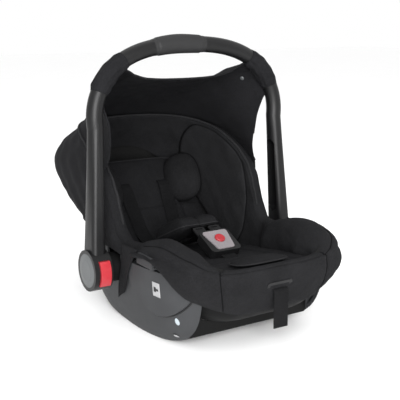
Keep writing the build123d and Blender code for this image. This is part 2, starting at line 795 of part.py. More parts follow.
for side, hand in hands:
    with BuildPart() as tongue:
        with BuildSketch(buckle_plane.offset(tongue_level - tongue_gauge / 2)):
            with Locations((side * tongue_spread, tongue_end - tongue_length / 2)):
                RectangleRounded(tongue_width, tongue_length, tongue_corner)
            with Locations((side * tongue_spread, tongue_end - tongue_bar)):
                Rectangle(tongue_width - 2 * tongue_bar, tongue_bar / 2, mode=Mode.SUBTRACT)
        extrude(amount=tongue_gauge)
    save(tongue, f"tongue_{hand}")

    strap_plane = Plane(
        (side * tongue_spread, strap_start.Y, 0),
        x_dir=(side * sin(strap_way), cos(strap_way), 0),
        z_dir=(cos(strap_way), -side * sin(strap_way), 0),
    )
    strap_points = [
        strap_point(strap_start),
        strap_point(seat_plane.from_local_coords((0, -strap_bend, strap_lift))),
        strap_point(back_plane.from_local_coords((0, strap_bend, strap_room + web_gauge))),
        strap_point(back_plane.from_local_coords((0, strap_up, strap_room + web_gauge))),
        strap_point(back_plane.from_local_coords((0, strap_up, -strap_depth))),
    ]
    with BuildPart() as shoulder_strap:
        with BuildSketch(strap_plane.offset(-web_width / 2)):
            with BuildLine():
                FilletPolyline(*strap_points, radius=strap_corner)
            trace(line_width=web_gauge)
        extrude(amount=web_width)
    save(shoulder_strap, f"shoulder_strap_{hand}")

    strap_run = Vector(*strap_points[1]) - Vector(*strap_points[0])
    pad_from = Vector(*strap_points[0]) + strap_run.normalized() * pad_offset
    pad_to = pad_from + strap_run.normalized() * pad_length
    with BuildPart() as shoulder_pad:
        with BuildSketch(strap_plane.offset(-pad_width / 2)):
            with BuildLine():
                Line(pad_from, pad_to)
            trace(line_width=pad_thickness)
        extrude(amount=pad_width)
        across_pad = shoulder_pad.edges().filter_by(Axis((0, 0, 0), strap_plane.z_dir))
        fillet(across_pad, pad_thickness / 3)
        with BuildSketch(strap_plane.offset(-web_width / 2 - fit_gap)):
            with BuildLine():
                Line(pad_from - strap_run.normalized(), pad_to + strap_run.normalized())
            trace(line_width=web_gauge + 2 * fit_gap)
        extrude(amount=web_width + 2 * fit_gap, mode=Mode.SUBTRACT)
    save(shoulder_pad, f"shoulder_pad_{hand}")

# Crotch strap from its anchor under the bucket to the front of the buckle
buckle_front = buckle_plane.from_local_coords((0, -(buckle_length + web_gauge) / 2, tongue_level))
with BuildPart() as crotch_strap:
    with BuildSketch(Plane.YZ.offset(-web_width / 2)):
        with BuildLine():
            FilletPolyline(
                (crotch_point.Y, anchor_z),
                (crotch_point.Y, buckle_front.Z),
                (buckle_front.Y, buckle_front.Z),
                radius=web_gauge,
            )
        trace(line_width=web_gauge)
    extrude(amount=web_width)
save(crotch_strap, "crotch_strap")
with BuildPart() as crotch_anchor:
    with Locations((0, crotch_point.Y, anchor_z)):
        upward = (Align.CENTER, Align.CENTER, Align.MIN)
        Box(web_width + 4 * anchor_wall, 4 * anchor_wall, anchor_height, align=upward)
        Box(web_width + 2 * fit_gap, web_gauge + 2 * fit_gap, 2 * anchor_height, mode=Mode.SUBTRACT)
    add(bucket_clear, mode=Mode.SUBTRACT)
save(crotch_anchor, "crotch_anchor")

# Padded flap in front of the buckle
crotch_pad_place = seat_plane.from_local_coords((0, -crotch_pad_forward, pad_gap))
with BuildPart() as crotch_pad:
    with BuildSketch(Plane(crotch_pad_place, x_dir=(1, 0, 0), z_dir=seat_plane.z_dir)):
        SlotOverall(crotch_pad_width, crotch_pad_length)
    extrude(amount=crotch_pad_thickness)
    fillet(crotch_pad.edges().group_by(seat_axis)[-1], crotch_pad_thickness / 3)
save(crotch_pad, "crotch_pad")

# Adjuster in the front of the seat: frame with a throat, clamping lever, its pin and the strap
with BuildPart() as adjuster_frame:
    with BuildSketch(front_plane.offset(-adjuster_frame_depth)):
        RectangleRounded(adjuster_width, adjuster_height, adjuster_corner)
    extrude(amount=2 * adjuster_frame_depth)
    add(hull(bucket_levels, skirt_outside + fit_gap), mode=Mode.SUBTRACT)
    with BuildSketch(front_plane.offset(adjuster_frame_depth / 2)):
        Rectangle(adjuster_width - 2 * adjuster_margin, adjuster_height - 2 * adjuster_margin)
    extrude(amount=-throat_depth)
    with BuildSketch(front_plane.offset(2 * adjuster_frame_depth)):
        Rectangle(throat_width, throat_height)
    extrude(amount=-far / 4, mode=Mode.SUBTRACT)
    with BuildSketch(lever_axis_plane):
        Circle(lever_pin_radius)
    extrude(amount=far, both=True, mode=Mode.SUBTRACT)
save(adjuster_frame, "adjuster_frame")
with BuildPart() as adjuster_pin:
    with BuildSketch(lever_axis_plane):
        Circle(lever_pin_radius)
    extrude(amount=adjuster_width / 2 - adjuster_margin, both=True)
save(adjuster_pin, "adjuster_pin")
with BuildPart() as adjuster_lever:
    with BuildSketch(lever_axis_plane):
        Circle(2 * lever_pin_radius)
        Rectangle(lever_thickness, lever_length)
        Circle(lever_pin_radius + running_clearance, mode=Mode.SUBTRACT)
    extrude(amount=throat_width / 2 - strap_room, both=True)
save(adjuster_lever, "adjuster_lever")
strap_in = front_plane.from_local_coords((0, tail_level, -throat_depth))
strap_out = front_plane.from_local_coords((0, tail_level, tail_reach))
with BuildPart() as adjuster_strap:
    with BuildSketch(Plane.YZ.offset(-web_width / 2)):
        with BuildLine():
            FilletPolyline(
                (strap_in.Y, strap_in.Z),
                (strap_out.Y, strap_out.Z),
                (strap_out.Y, strap_out.Z - strap_tail),
                radius=2 * web_gauge,
            )
        trace(line_width=web_gauge)
    extrude(amount=web_width)
save(adjuster_strap, "adjuster_strap")

# Canopy: sleeves round the shoulders of the handle
for side, hand in hands:
    start, end = (sleeve_from, sleeve_to) if side < 0 else (1 - sleeve_to, 1 - sleeve_from)
    with BuildPart() as canopy_sleeve:
        add(bar_stretch(start, end, handle_bar_radius + sleeve_gap + canopy_thickness))
        core = bar_stretch(start - sleeve_overrun, end + sleeve_overrun, handle_bar_radius + sleeve_gap)
        add(core, mode=Mode.SUBTRACT)
    save(canopy_sleeve, f"canopy_sleeve_{hand}")

# Canopy: front panel from the handle to the rim of the head end
canopy_inside = skirt_outside + canopy_gap
canopy_outside = canopy_inside + canopy_thickness
canopy_rise = atan2(canopy_rear_z - canopy_front_z, canopy_rear_y - canopy_front_y)
canopy_plane = Plane(
    (0, canopy_front_y, canopy_front_z), x_dir=(1, 0, 0), z_dir=(0, -sin(canopy_rise), cos(canopy_rise))
)
canopy_top_plane = Plane(
    handle_plane.origin, x_dir=(1, 0, 0), z_dir=handle_plane.z_dir.rotate(Axis.X, -canopy_behind)
)


def rim_arc(grow):
    """Outline of the head end in the plane of the rim, from the right wing to the left."""
    length = (canopy_rear_y + grow - canopy_front_y) / cos(canopy_rise)
    return arch(bucket_levels[4][3] + grow, length)


def hood_arc(inset):
    """Front edge of the canopy behind the handle, from the right shoulder to the left."""
    foot = (hood_half_width - inset, hood_foot)
    shoulder = (hood_shoulder - inset / 2, hood_top - inset)
    right = [(-foot[0], foot[1]), (-shoulder[0], shoulder[1])]
    return right + [(0, hood_top - hood_sag - inset), shoulder, foot]


with BuildPart() as canopy_front:
    for plane, outer, inner in (
        (canopy_top_plane, hood_arc(0), hood_arc(canopy_thickness)),
        (canopy_plane, rim_arc(canopy_outside), rim_arc(canopy_inside)),
    ):
        with BuildSketch(plane):
            with BuildLine():
                Spline(*outer)
                Line(outer[-1], inner[-1])
                Spline(*reversed(inner))
                Line(inner[0], outer[0])
            make_face()
    loft()
save(canopy_front, "canopy_front")

# Canopy: panel round the outside of the head end
with BuildPart() as canopy_rear:
    add(hull(bucket_levels, canopy_outside))
    add(hull(bucket_levels, canopy_inside), mode=Mode.SUBTRACT)
    split(bisect_by=canopy_plane.offset(-canopy_gap), keep=Keep.BOTTOM)
    split(bisect_by=Plane.XY.offset(canopy_hem_z), keep=Keep.TOP)
    split(bisect_by=Plane.XZ.offset(-canopy_front_y), keep=Keep.BOTTOM)
save(canopy_rear, "canopy_rear")
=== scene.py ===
"""Infant car seat: materials, padded cover, insert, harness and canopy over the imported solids."""

import json
import math

import bmesh
import bpy
import numpy as np
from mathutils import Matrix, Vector


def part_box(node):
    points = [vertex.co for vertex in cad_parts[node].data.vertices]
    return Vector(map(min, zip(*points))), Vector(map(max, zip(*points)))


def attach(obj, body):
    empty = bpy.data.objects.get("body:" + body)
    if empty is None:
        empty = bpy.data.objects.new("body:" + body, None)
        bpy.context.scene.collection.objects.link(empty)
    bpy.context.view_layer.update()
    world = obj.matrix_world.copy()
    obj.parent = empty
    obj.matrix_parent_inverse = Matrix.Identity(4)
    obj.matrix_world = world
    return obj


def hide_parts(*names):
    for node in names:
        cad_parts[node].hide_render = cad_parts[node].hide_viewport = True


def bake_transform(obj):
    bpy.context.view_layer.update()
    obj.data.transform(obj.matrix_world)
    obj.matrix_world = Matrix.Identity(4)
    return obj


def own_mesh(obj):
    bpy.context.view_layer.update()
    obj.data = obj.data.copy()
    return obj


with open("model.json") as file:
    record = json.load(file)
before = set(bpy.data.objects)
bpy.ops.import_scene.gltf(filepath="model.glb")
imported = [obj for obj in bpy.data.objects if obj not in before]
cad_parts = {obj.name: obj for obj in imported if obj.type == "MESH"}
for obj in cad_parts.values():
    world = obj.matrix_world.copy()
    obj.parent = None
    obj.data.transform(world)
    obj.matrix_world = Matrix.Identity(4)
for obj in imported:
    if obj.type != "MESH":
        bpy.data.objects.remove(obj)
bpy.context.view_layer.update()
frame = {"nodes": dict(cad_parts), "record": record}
MM = 0.001


# Sizes and places in millimetres, in the frame of the solids

HUB = np.array((0.0, -26.0, 110.0))
ACROSS = np.array((1.0, 0, 0))
SIDES = ((-1, "right"), (1, "left"))

# Bucket and base by height: height, rear, front, half width
LEVELS = np.array((
    (45, 106, -224, 100), (80, 156, -280, 138), (130, 221, -292, 157), (200, 288, -292, 166),
    (270, 300, -290, 168), (330, 270, -290, 166), (385, 221, -290, 158)), float)
BASE = np.array((
    (0, 128, -184, 147), (45, 181, -254, 164), (110, 223, -272, 171), (195, 244, -276, 176)), float)
REAR, FRONT, HALF_WIDTH = 1, 2, 3
WIDEST_Y = -4.0
FRONT_POWER, REAR_POWER = 5.0, 2.5
PLAN_HEIGHT = 150.0
# Rim of the bucket: place along the seat, height
RIM = ((-345, 136), (-290, 146), (-249, 172), (-190, 182), (-124, 168), (-84, 156), (-60, 156), (-34, 170),
       (-12, 215), (12, 262), (46, 292), (114, 323), (201, 340), (266, 345), (345, 347))

# Seat and back rest meet in the bight
BIGHT = np.array((0.0, 91.0, 92.0))
BACK_ANGLE, SEAT_ANGLE = math.radians(52), math.radians(8.5)
BACK_UP = np.array((0, math.cos(BACK_ANGLE), math.sin(BACK_ANGLE)))
BACK_OUT = np.array((0, -math.sin(BACK_ANGLE), math.cos(BACK_ANGLE)))
SEAT_FORWARD = np.array((0, -math.cos(SEAT_ANGLE), math.sin(SEAT_ANGLE)))
SEAT_OUT = np.array((0, math.sin(SEAT_ANGLE), math.cos(SEAT_ANGLE)))

# Cover; a run is a distance along the outline from the middle of the front
COVER_COLUMNS = 440
COVER_HEM = ((0, 60), (60, 67), (101, 80), (127, 90), (170, 106), (191, 124), (222, 147), (262, 163),
             (300, 161), (332, 142), (437, 148), (560, 162), (700, 182), (900, 190))
COVER_OVER_RIM = 8
HEM_FOLD = ((8, 4), (5, -1), (2, -1.5))
SKIRT_ROWS, CAP_ROWS, LINING_ROWS = 29, 30, 25
THIGH_START, THIGH_END = (108, 160), (285, 350)
SIDE_START, SIDE_END = (150, 195), (430, 520)
CORNER_RUN, CORNER_WIDTH, CORNER_SWELL = 165, 45, 5
SKIRT_OFFSET, SIDE_OFFSET, THIGH_OFFSET = 5, 13, 7
SKIRT_PUFF, THIGH_PUFF, PUFF_POWER = 3, 8, 0.8
LINING_OFFSET, THIGH_LINING = -20, -26
CAP_HEIGHT, THIGH_CAP, CAP_POWER = 10, 15, 0.85
CORNER_SEAM_RUN, CORNER_SEAM_WIDTH = 110, 3.0
SKIRT_SEAM_DEPTH, SKIRT_SEAM_GAIN = 2.5, 1.5
CAP_SEAM_DROP, CAP_SEAM_DEPTH, CAP_SEAM_POWER = 5.0, 3, 0.5
STITCH_TURN, STITCH_WIDTH, STITCH_DROP, STITCH_END = 0.9, 0.11, 4.0, (250, 300)
LINING_LEVEL, LINING_LEAST, LINING_SINK = 12, 14, 16
LINING_FOOT, THIGH_HOLLOW, LINING_HOLLOW = 10, 6, 3
PIPING_ROW, PIPING_START, PIPING_LIFT, PIPING_RADIUS = 19, -30, 1.0, 2.2
FRONT_SEAM_ROW, FRONT_SEAM_RUN = 8, 285
CORNER_SEAM_FROM, CORNER_SEAM_TO = 4, 26
COVER_SEAM_RADIUS = 1.1
WING_ROW, WING_START, WING_END = 27, -6, 186
WING_COUNT, WING_POWER, WING_EDGE = 40, 3.2, 0.45
WING_GAP, WING_CROWN, WING_DEPTH, WING_SEAM_RADIUS = 0.6, 7, 2, 1.2

# Canopy; a share runs from the middle to the side, a turn is in degrees back from upright
CANOPY_COLUMNS = 181
RIM_STOP, RIM_LIFT, RIM_OFFSET = 0.06, 2, 7.5
RIM_FIRST_Y, RIM_ROUNDS = 100.0, 6
HOOD_ROWS = 61
HOOD_ACROSS = ((0, 0), (0.3, 76), (0.5, 137), (0.58, 166), (0.66, 186), (0.72, 177), (0.8, 164), (0.9, 161))
HOOD_REACH = ((0, 336), (0.15, 336.5), (0.3, 339), (0.4, 346), (0.5, 360), (0.58, 349), (0.66, 312),
              (0.72, 290), (0.8, 252), (0.9, 205))
HOOD_TURN = ((0, 6.5), (0.3, 6.2), (0.5, 4.2), (0.58, 3.2), (0.66, 3.2), (0.72, 4.4), (0.8, 5.6), (0.9, 8.5))
HOOD_SAG = 6
TUCK_SHARE, TUCK_WIDTH, TUCK_DEPTH = 0.62, 0.2, 30
GATHER_SHARE, GATHER_WIDTH, GATHER_START = 0.56, 0.1, 0.45
GATHER_HEIGHT, GATHER_WAVES, GATHER_SLANT = 1.8, 130, 2
HOOD_GAUGE, HOOD_EDGE_RADIUS, HOOD_EDGE_MARGIN = 1.6, 2.0, 12
STUD_ROW, STUD_COLUMN, STUD_LIFT, STUD_SIDES = 50, 36, 0.6, 24
# Press stud: radius, height
STUD_PROFILE = ((4.2, 0.0), (4.2, 0.5), (3.4, 0.7), (2.6, 1.3), (1.3, 1.7), (0.05, 1.8))
DOME_ROWS, DOME_TOP_LIFT = 48, 2.0
DOME_HEM, DOME_HEM_RISE = 158, 8
DOME_FULL_SPAN, DOME_FULL_POWER, DOME_SQUARENESS = 1.05, 1.25, 2.0
DOME_OFFSET, DOME_SIDE_SWELL, DOME_REAR_SWELL = 8, 3, 8
DOME_CROWN, DOME_CROWN_FADE = 20, (-1.0, -0.25)
DOME_TUCK, DOME_TUCK_START = 20, 0.9
DOME_GAUGE, DOME_HEM_RADIUS, DOME_SEAM_LIFT, DOME_SEAM_RADIUS = 1.8, 2.6, 1.5, 2.2

# Bar of the handle, its sleeves and its grip; a share runs along the bar
LEAN = math.radians(2.5)
HANDLE_UP = np.array((0, math.sin(LEAN), math.cos(LEAN)))
HANDLE_BACK = np.array((0, math.cos(LEAN), -math.sin(LEAN)))
BAR_HALF_WIDTH, BAR_FOOT, BAR_RISE, BAR_POWER = 198, 256, 144, 0.8
BAR_STEPS, BAR_COUNT = 4001, 1201
SLEEVE_SPANS = (("right", 0.112, 0.25), ("left", 0.75, 0.888))
SLEEVE_SIDES, SLEEVE_END, SLEEVE_GAUGE = 72, 0.12, 0.8
SLEEVE_RADIUS, SLEEVE_SWELL, SLEEVE_END_FOLD = 15.9, 1.5, 0.15
GRIP_START, GRIP_STOP, GRIP_SIDES, GRIP_END = 0.362, 0.558, 64, 0.10
GRIP_RADIUS, GRIP_SWELL, GRIP_PALM, GRIP_PALM_POWER = 15.2, 1.6, 2.2, 1.5
GRIP_GROOVE, GRIP_GROOVE_WIDTH, GRIP_GROOVE_PLACES = 0.7, 0.02, (0.06, 0.94)

# Insert and bolsters, placed by the distance up or ahead from the bight and out of the rest
BACK_PAD_PLACE, SEAT_PAD_PLACE, BOLSTER_PLACE = (106, -10), (186, -8), (146, 20, 90)
# Stitched grooves: way, place, width, depth
BACK_PAD_SEAMS = (("along", -0.62, 0.03, 6), ("along", 0.62, 0.03, 6), ("across", -0.1, 0.025, 4))
SEAT_PAD_SEAMS = (("along", -0.55, 0.03, 5), ("along", 0.55, 0.03, 5), ("across", 0.45, 0.02, 4))
BACK_PAD_PIPING, BOLSTER_SEAM_RADIUS = 1.9, 1.4
BOLSTER_FACE_OUT, BOLSTER_FACE_IN, BOLSTER_UP, BOLSTER_SPREAD = 0.72, 0.69, 0.98, 0.12

# Harness
BUCKLE_MOUTH = np.array((0.0, -64.3, 170.7))
WEB_WIDTH, WEB_GAUGE, TAIL_GAUGE = 30, 2.0, 2.2
STRAP_SLOT_UP, STRAP_SLOT_OUT, STRAP_SLOT_DEPTH = 150, 6.0, -10
STRAP_ON_SEAT, STRAP_ON_BACK = (26, 9), ((26, 7), (90, 6.5))
STRAP_NARROW, STRAP_SPREAD = 17, 33
PAD_ALONG, PAD_OUT, PAD_EDGE_RADIUS = 62, 7, 1.3
PAD_SEAMS = (("along", -0.8, 0.05, 1.5), ("along", 0.8, 0.05, 1.5))
CROTCH_PATH = ((0, -156.3, 38), (0, -156.3, 118), (0, -155.0, 130), (0, -150, 133.8), (0, -142.5, 134))
CROTCH_PAD_PLACE, CROTCH_PAD_EDGE = (333, 6), 1.4
TAIL_PATH = ((0, -270, 121), (0, -292, 115), (0, -302, 112), (0, -303.5, 96), (0, -302.5, 70), (0, -303, 46))

# Plates on the right side of the base: name, span along the seat, span in height, proud, look, oval
SIDE_PLATES = (
    ("side_sticker", (-190, -170), (95.5, 121), 4.6, "sticker_white", False),
    ("side_arrow_shaft", (-186, -179.5), (106.5, 110), 5.2, "black_plastic", False),
    ("side_arrow_head", (-180, -174.5), (104, 112.5), 5.2, "black_plastic", False),
    ("side_plug", (-220, -212), (52, 65), 1.0, "plug_plastic", True),
    # Painted shade: black oval for the shaded hollow round the screw
    ("side_screw_recess_shade", (-203.5, -193), (20, 30), 3.0, "black_plastic", True),
    ("side_screw", (-201.5, -195), (22, 28), 3.8, "steel", True),
)
PLATE_COUNT, PLATE_GAUGE, SIDE_LIMIT = 17, 0.6, 0.999
MOON_Y, MOON_Z, MOON_RADIUS, MOON_TURNS = -171, 150, 91, (186, 338)
MOON_COUNT, MOON_PROUD, MOON_EDGE_RADIUS = 90, 1.2, 1.6
FLAP_ROWS, FLAP_COLUMNS = 25, 11
FLAP_Y, FLAP_Z, FLAP_BACK, FLAP_DROP = -85, 168, 47, 106
FLAP_HALF_WIDTH, FLAP_TAPER, FLAP_SLANT, FLAP_SWAY = 24, 12, 8, 2
FLAP_PROUD, FLAP_LEAN, FLAP_WAVE, FLAP_GAUGE = 9, 3, 1.2, 1.5

# Shares of the stuffing, from loose to firm
WING_FILL, COVER_FILL, PAD_FILL, INSERT_FILL, BOLSTER_FILL = 0.5, 0.6, 0.6, 0.7, 0.8

# Springs
COIL_TURNS, COIL_POINTS, COIL_WIRE, COIL_MARGIN = 4, 145, 0.55, 0.6
BUTTON_WAY = np.array((0.0, -1.0, 0.0))
BUCKLE_WAY = np.array((0.0, -0.4305, 0.9026))
BUCKLE_FOOT = np.array((0.0, -111.2, 146.2))
BUCKLE_COIL_LENGTH, BUCKLE_COIL_RADIUS = 5.9, 6.8

# Floor, light and camera, in metres and watts
FLOOR_SIZE = 24
# Lamps: name, place, target, size, power
LAMPS = (
    ("key", (-1.7, -1.7, 2.3), (0, 0, 0.25), 1.6, 20),
    ("front", (-1.3, -2.6, 0.9), (0, 0, 0.25), 1.8, 140),
    ("fill", (2.2, -1.2, 1.6), (0, 0, 0.25), 2.0, 6),
    ("top", (0.2, 0.6, 2.8), (0, 0, 0.3), 2.0, 8),
)
CAMERA_TURN, CAMERA_PITCH = math.radians(32.49), math.radians(12.54)
CAMERA_PLACE, CAMERA_LENS, CAMERA_SENSOR = (-0.8027, -1.3097, 0.551), 72.29, 36

# Materials: painted shade on the front wall of the base, between the skids, with its limits in metres, and
# shares of the fabrics' dye
RECESS_SIDE, RECESS_FRONT, RECESS_SHADE = (0.1275, 0.1265), (-0.200, -0.204), (0.002, 0.002, 0.002, 1)
PLASTIC_DARK, PLASTIC_LIGHT, PLASTIC_RELIEF, PLASTIC_SPREAD = 0.88, 1.12, 0.0003, (-0.05, 0.06)
METAL_DARK, METAL_SPREAD = 0.85, (-0.08, 0.1)
CLOTH_ROUGHNESS, CLOTH_GLOSS, CLOTH_RELIEF = 0.92, 0.08, 0.0004
SHEEN_ROUGHNESS, SHEEN_TINT = 0.45, 9.0
HEATHER_SHARE, BLOTCH_SHARE, THREAD_SHARE, THREAD_DISTORTION = 0.65, 0.35, 0.5, 0.6
RAMP_LOW, RAMP_HIGH = 0.3, 0.7


# Materials

def shader(name, colour, roughness):
    """New material with a plain surface, and the parts that the detail hangs on."""
    material = bpy.data.materials.new(name)
    material.use_nodes = True
    nodes, links = material.node_tree.nodes, material.node_tree.links
    surface = nodes["Principled BSDF"]
    surface.inputs["Base Color"].default_value = (*colour, 1)
    surface.inputs["Roughness"].default_value = roughness
    return material, nodes, links, surface


def coordinates(nodes, links, scale=(1, 1, 1)):
    place = nodes.new("ShaderNodeTexCoord")
    mapping = nodes.new("ShaderNodeMapping")
    mapping.inputs["Scale"].default_value = scale
    links.new(place.outputs["Object"], mapping.inputs["Vector"])
    return mapping.outputs["Vector"]


def noise(nodes, links, vector, scale, detail=2.0):
    texture = nodes.new("ShaderNodeTexNoise")
    texture.inputs["Scale"].default_value = scale
    texture.inputs["Detail"].default_value = detail
    links.new(vector, texture.inputs["Vector"])
    return texture.outputs["Fac"]


def ramp(nodes, links, source, low, high):
    """Colour between two ends, chosen by a grey value."""
    colours = nodes.new("ShaderNodeValToRGB")
    colours.color_ramp.elements[0].position = RAMP_LOW
    colours.color_ramp.elements[1].position = RAMP_HIGH
    colours.color_ramp.elements[0].color = (*low, 1)
    colours.color_ramp.elements[1].color = (*high, 1)
    links.new(source, colours.inputs["Fac"])
    return colours.outputs["Color"]


def uneven_roughness(nodes, links, surface, source, roughness, spread):
    """Roughness that wanders about a value, between the two ends of the spread."""
    mapped = nodes.new("ShaderNodeMapRange")
    mapped.inputs["To Min"].default_value = roughness + spread[0]
    mapped.inputs["To Max"].default_value = roughness + spread[1]
    links.new(source, mapped.inputs["Value"])
    links.new(mapped.outputs["Result"], surface.inputs["Roughness"])


def bump(nodes, links, surface, height, strength, distance):
    relief = nodes.new("ShaderNodeBump")
    relief.inputs["Strength"].default_value = strength
    relief.inputs["Distance"].default_value = distance
    links.new(height, relief.inputs["Height"])
    links.new(relief.outputs["Normal"], surface.inputs["Normal"])


def tint(colour, factor):
    return tuple(min(1.0, c * factor) for c in colour)


def plastic(name, colour, roughness, grain=1800.0, strength=0.12, coat=0.0, gloss=0.5, recess=False):
    """Moulded plastic: fine grain, faint flow marks in the colour and an uneven sheen; with recess set,
    painted shade on the front wall of the base.
    """
    material, nodes, links, surface = shader(name, colour, roughness)
    surface.inputs["Specular IOR Level"].default_value = gloss
    surface.inputs["Coat Weight"].default_value = coat
    vector = coordinates(nodes, links)
    flow = noise(nodes, links, vector, scale=14.0, detail=4.0)
    base_colour = ramp(nodes, links, flow, tint(colour, PLASTIC_DARK), tint(colour, PLASTIC_LIGHT))
    # Painted shade: nearly black on the front wall of the base, where it lies in shadow
    if recess:
        base_colour = paint_recess_shade(nodes, links, vector, base_colour)
    links.new(base_colour, surface.inputs["Base Color"])
    patches = noise(nodes, links, vector, scale=60.0, detail=3.0)
    uneven_roughness(nodes, links, surface, patches, roughness, PLASTIC_SPREAD)
    bump(nodes, links, surface, noise(nodes, links, vector, grain), strength, PLASTIC_RELIEF)
    return material


def colour_socket(sockets, name):
    return next(s for s in sockets if s.name == name and s.type == "RGBA")


def paint_recess_shade(nodes, links, vector, base_colour):
    """Painted shade: the front wall of the base, between the two skids, coloured nearly black for the shadow
    under the cover's hem.
    """
    axes = nodes.new("ShaderNodeSeparateXYZ")
    links.new(vector, axes.inputs["Vector"])
    across = nodes.new("ShaderNodeMath")
    across.operation = "ABSOLUTE"
    links.new(axes.outputs["X"], across.inputs[0])
    both = nodes.new("ShaderNodeMath")
    both.operation = "MULTIPLY"
    limits = ((across.outputs["Value"], RECESS_SIDE), (axes.outputs["Y"], RECESS_FRONT))
    for factor, (source, (start, end)) in zip(both.inputs, limits):
        edge = nodes.new("ShaderNodeMapRange")
        edge.inputs["From Min"].default_value = start
        edge.inputs["From Max"].default_value = end
        links.new(source, edge.inputs["Value"])
        links.new(edge.outputs["Result"], factor)
    mixed = nodes.new("ShaderNodeMix")
    mixed.data_type = "RGBA"
    colour_socket(mixed.inputs, "B").default_value = RECESS_SHADE
    links.new(both.outputs["Value"], mixed.inputs["Factor"])
    links.new(base_colour, colour_socket(mixed.inputs, "A"))
    return colour_socket(mixed.outputs, "Result")


def cloth(name, colour, weave=900.0, strength=0.35, sheen=0.06, mottle=0.38):
    """Knitted or woven fabric: crossed threads in the relief, soft sheen and a slightly uneven dye."""
    material, nodes, links, surface = shader(name, colour, CLOTH_ROUGHNESS)
    surface.inputs["Specular IOR Level"].default_value = CLOTH_GLOSS
    surface.inputs["Sheen Weight"].default_value = sheen
    surface.inputs["Sheen Roughness"].default_value = SHEEN_ROUGHNESS
    surface.inputs["Sheen Tint"].default_value = (*tint(colour, SHEEN_TINT), 1)
    vector = coordinates(nodes, links)
    heather = nodes.new("ShaderNodeMath")
    heather.operation = "MULTIPLY_ADD"
    heather.inputs[1].default_value = HEATHER_SHARE
    blotch = nodes.new("ShaderNodeMath")
    blotch.operation = "MULTIPLY"
    blotch.inputs[1].default_value = BLOTCH_SHARE
    links.new(noise(nodes, links, vector, scale=22.0, detail=4.0), blotch.inputs[0])
    links.new(noise(nodes, links, vector, scale=420.0, detail=3.0), heather.inputs[0])
    links.new(blotch.outputs["Value"], heather.inputs[2])
    dye = ramp(nodes, links, heather.outputs["Value"], tint(colour, 1 - mottle), tint(colour, 1 + mottle))
    links.new(dye, surface.inputs["Base Color"])
    heights = []
    for direction in ("X", "Y", "Z"):
        threads = nodes.new("ShaderNodeTexWave")
        threads.bands_direction = direction
        threads.inputs["Scale"].default_value = weave
        threads.inputs["Distortion"].default_value = THREAD_DISTORTION
        links.new(vector, threads.inputs["Vector"])
        heights.append(threads.outputs["Fac"])
    total = heights[0]
    for height in heights[1:]:
        crossed = nodes.new("ShaderNodeMath")
        crossed.operation = "MULTIPLY_ADD"
        crossed.inputs[1].default_value = THREAD_SHARE
        links.new(total, crossed.inputs[0])
        links.new(height, crossed.inputs[2])
        total = crossed.outputs["Value"]
    bump(nodes, links, surface, total, strength, CLOTH_RELIEF)
    return material


def metal(name, colour, roughness):
    """Brushed metal, with streaks in its colour and roughness."""
    material, nodes, links, surface = shader(name, colour, roughness)
    surface.inputs["Metallic"].default_value = 1.0
    vector = coordinates(nodes, links, scale=(40, 40, 900))
    brushed = noise(nodes, links, vector, scale=4.0)
    uneven_roughness(nodes, links, surface, brushed, roughness, METAL_SPREAD)
    links.new(ramp(nodes, links, brushed, tint(colour, METAL_DARK), colour), surface.inputs["Base Color"])
    return material


PLASTICS = {
    "shell_plastic": dict(colour=(0.003, 0.003, 0.0032), roughness=0.6, gloss=0.1),
    # recess paints nearly black shade on the front wall of the base
    "base_plastic": dict(colour=(0.033, 0.034, 0.036), roughness=0.55, gloss=0.15, recess=True),
    "handle_plastic": dict(colour=(0.0045, 0.0045, 0.0048), roughness=0.40, grain=900.0, strength=0.06,
                           gloss=0.24),
    "grip_rubber": dict(colour=(0.013, 0.013, 0.0135), roughness=0.62, grain=2400.0, strength=0.2,
                        gloss=0.25),
    "cap_plastic": dict(colour=(0.066, 0.071, 0.073), roughness=0.45),
    "red_plastic": dict(colour=(0.31, 0.016, 0.023), roughness=0.35, grain=900.0, strength=0.04, coat=0.2),
    "black_plastic": dict(colour=(0.006, 0.006, 0.0065), roughness=0.45, gloss=0.3),
    "plate_plastic": dict(colour=(0.19, 0.172, 0.181), roughness=0.4),
    "sticker_white": dict(colour=(0.27, 0.27, 0.275), roughness=0.5),
    "plug_plastic": dict(colour=(0.30, 0.34, 0.365), roughness=0.35),
}
FABRICS = {
    "foam": dict(colour=(0.008, 0.008, 0.008)),
    "cover_fabric": dict(colour=(0.0096, 0.0096, 0.0104)),
    "insert_fabric": dict(colour=(0.0092, 0.0092, 0.0100), weave=700.0, strength=0.3),
    "pad_fabric": dict(colour=(0.0085, 0.0085, 0.0092)),
    "canopy_fabric": dict(colour=(0.0085, 0.0085, 0.0094), weave=640.0, strength=0.15),
    "piping": dict(colour=(0.017, 0.017, 0.018)),
    # Wing panels: lighter than the cover cloth as painted light falling on the inner wings
    "wing_fabric_painted_light": dict(colour=(0.0125, 0.0125, 0.0134)),
    # Seam thread: black thread, made darker than the cloth as painted shade of the stitched grooves
    "seam_thread_and_shade": dict(colour=(0.0025, 0.0025, 0.0028), weave=500.0, strength=0.5, sheen=0.0),
    "bolster_fabric": dict(colour=(0.0098, 0.0098, 0.0105)),
    "webbing": dict(colour=(0.0065, 0.0065, 0.0070), weave=500.0, strength=0.5),
}
looks = {"steel": metal("steel", colour=(0.55, 0.55, 0.56), roughness=0.32)}
looks.update((name, plastic(name, **values)) for name, values in PLASTICS.items())
looks.update((name, cloth(name, **values)) for name, values in FABRICS.items())
# Each solid takes the look named by its slot
for part in frame["record"]["subparts"]:
    mesh = frame["nodes"][part["node"]].data
    mesh.materials.clear()
    mesh.materials.append(looks[part["material_slot"]])
frame["nodes"]["adjuster_frame"].data.materials[0] = looks["black_plastic"]


# Curves and outlines

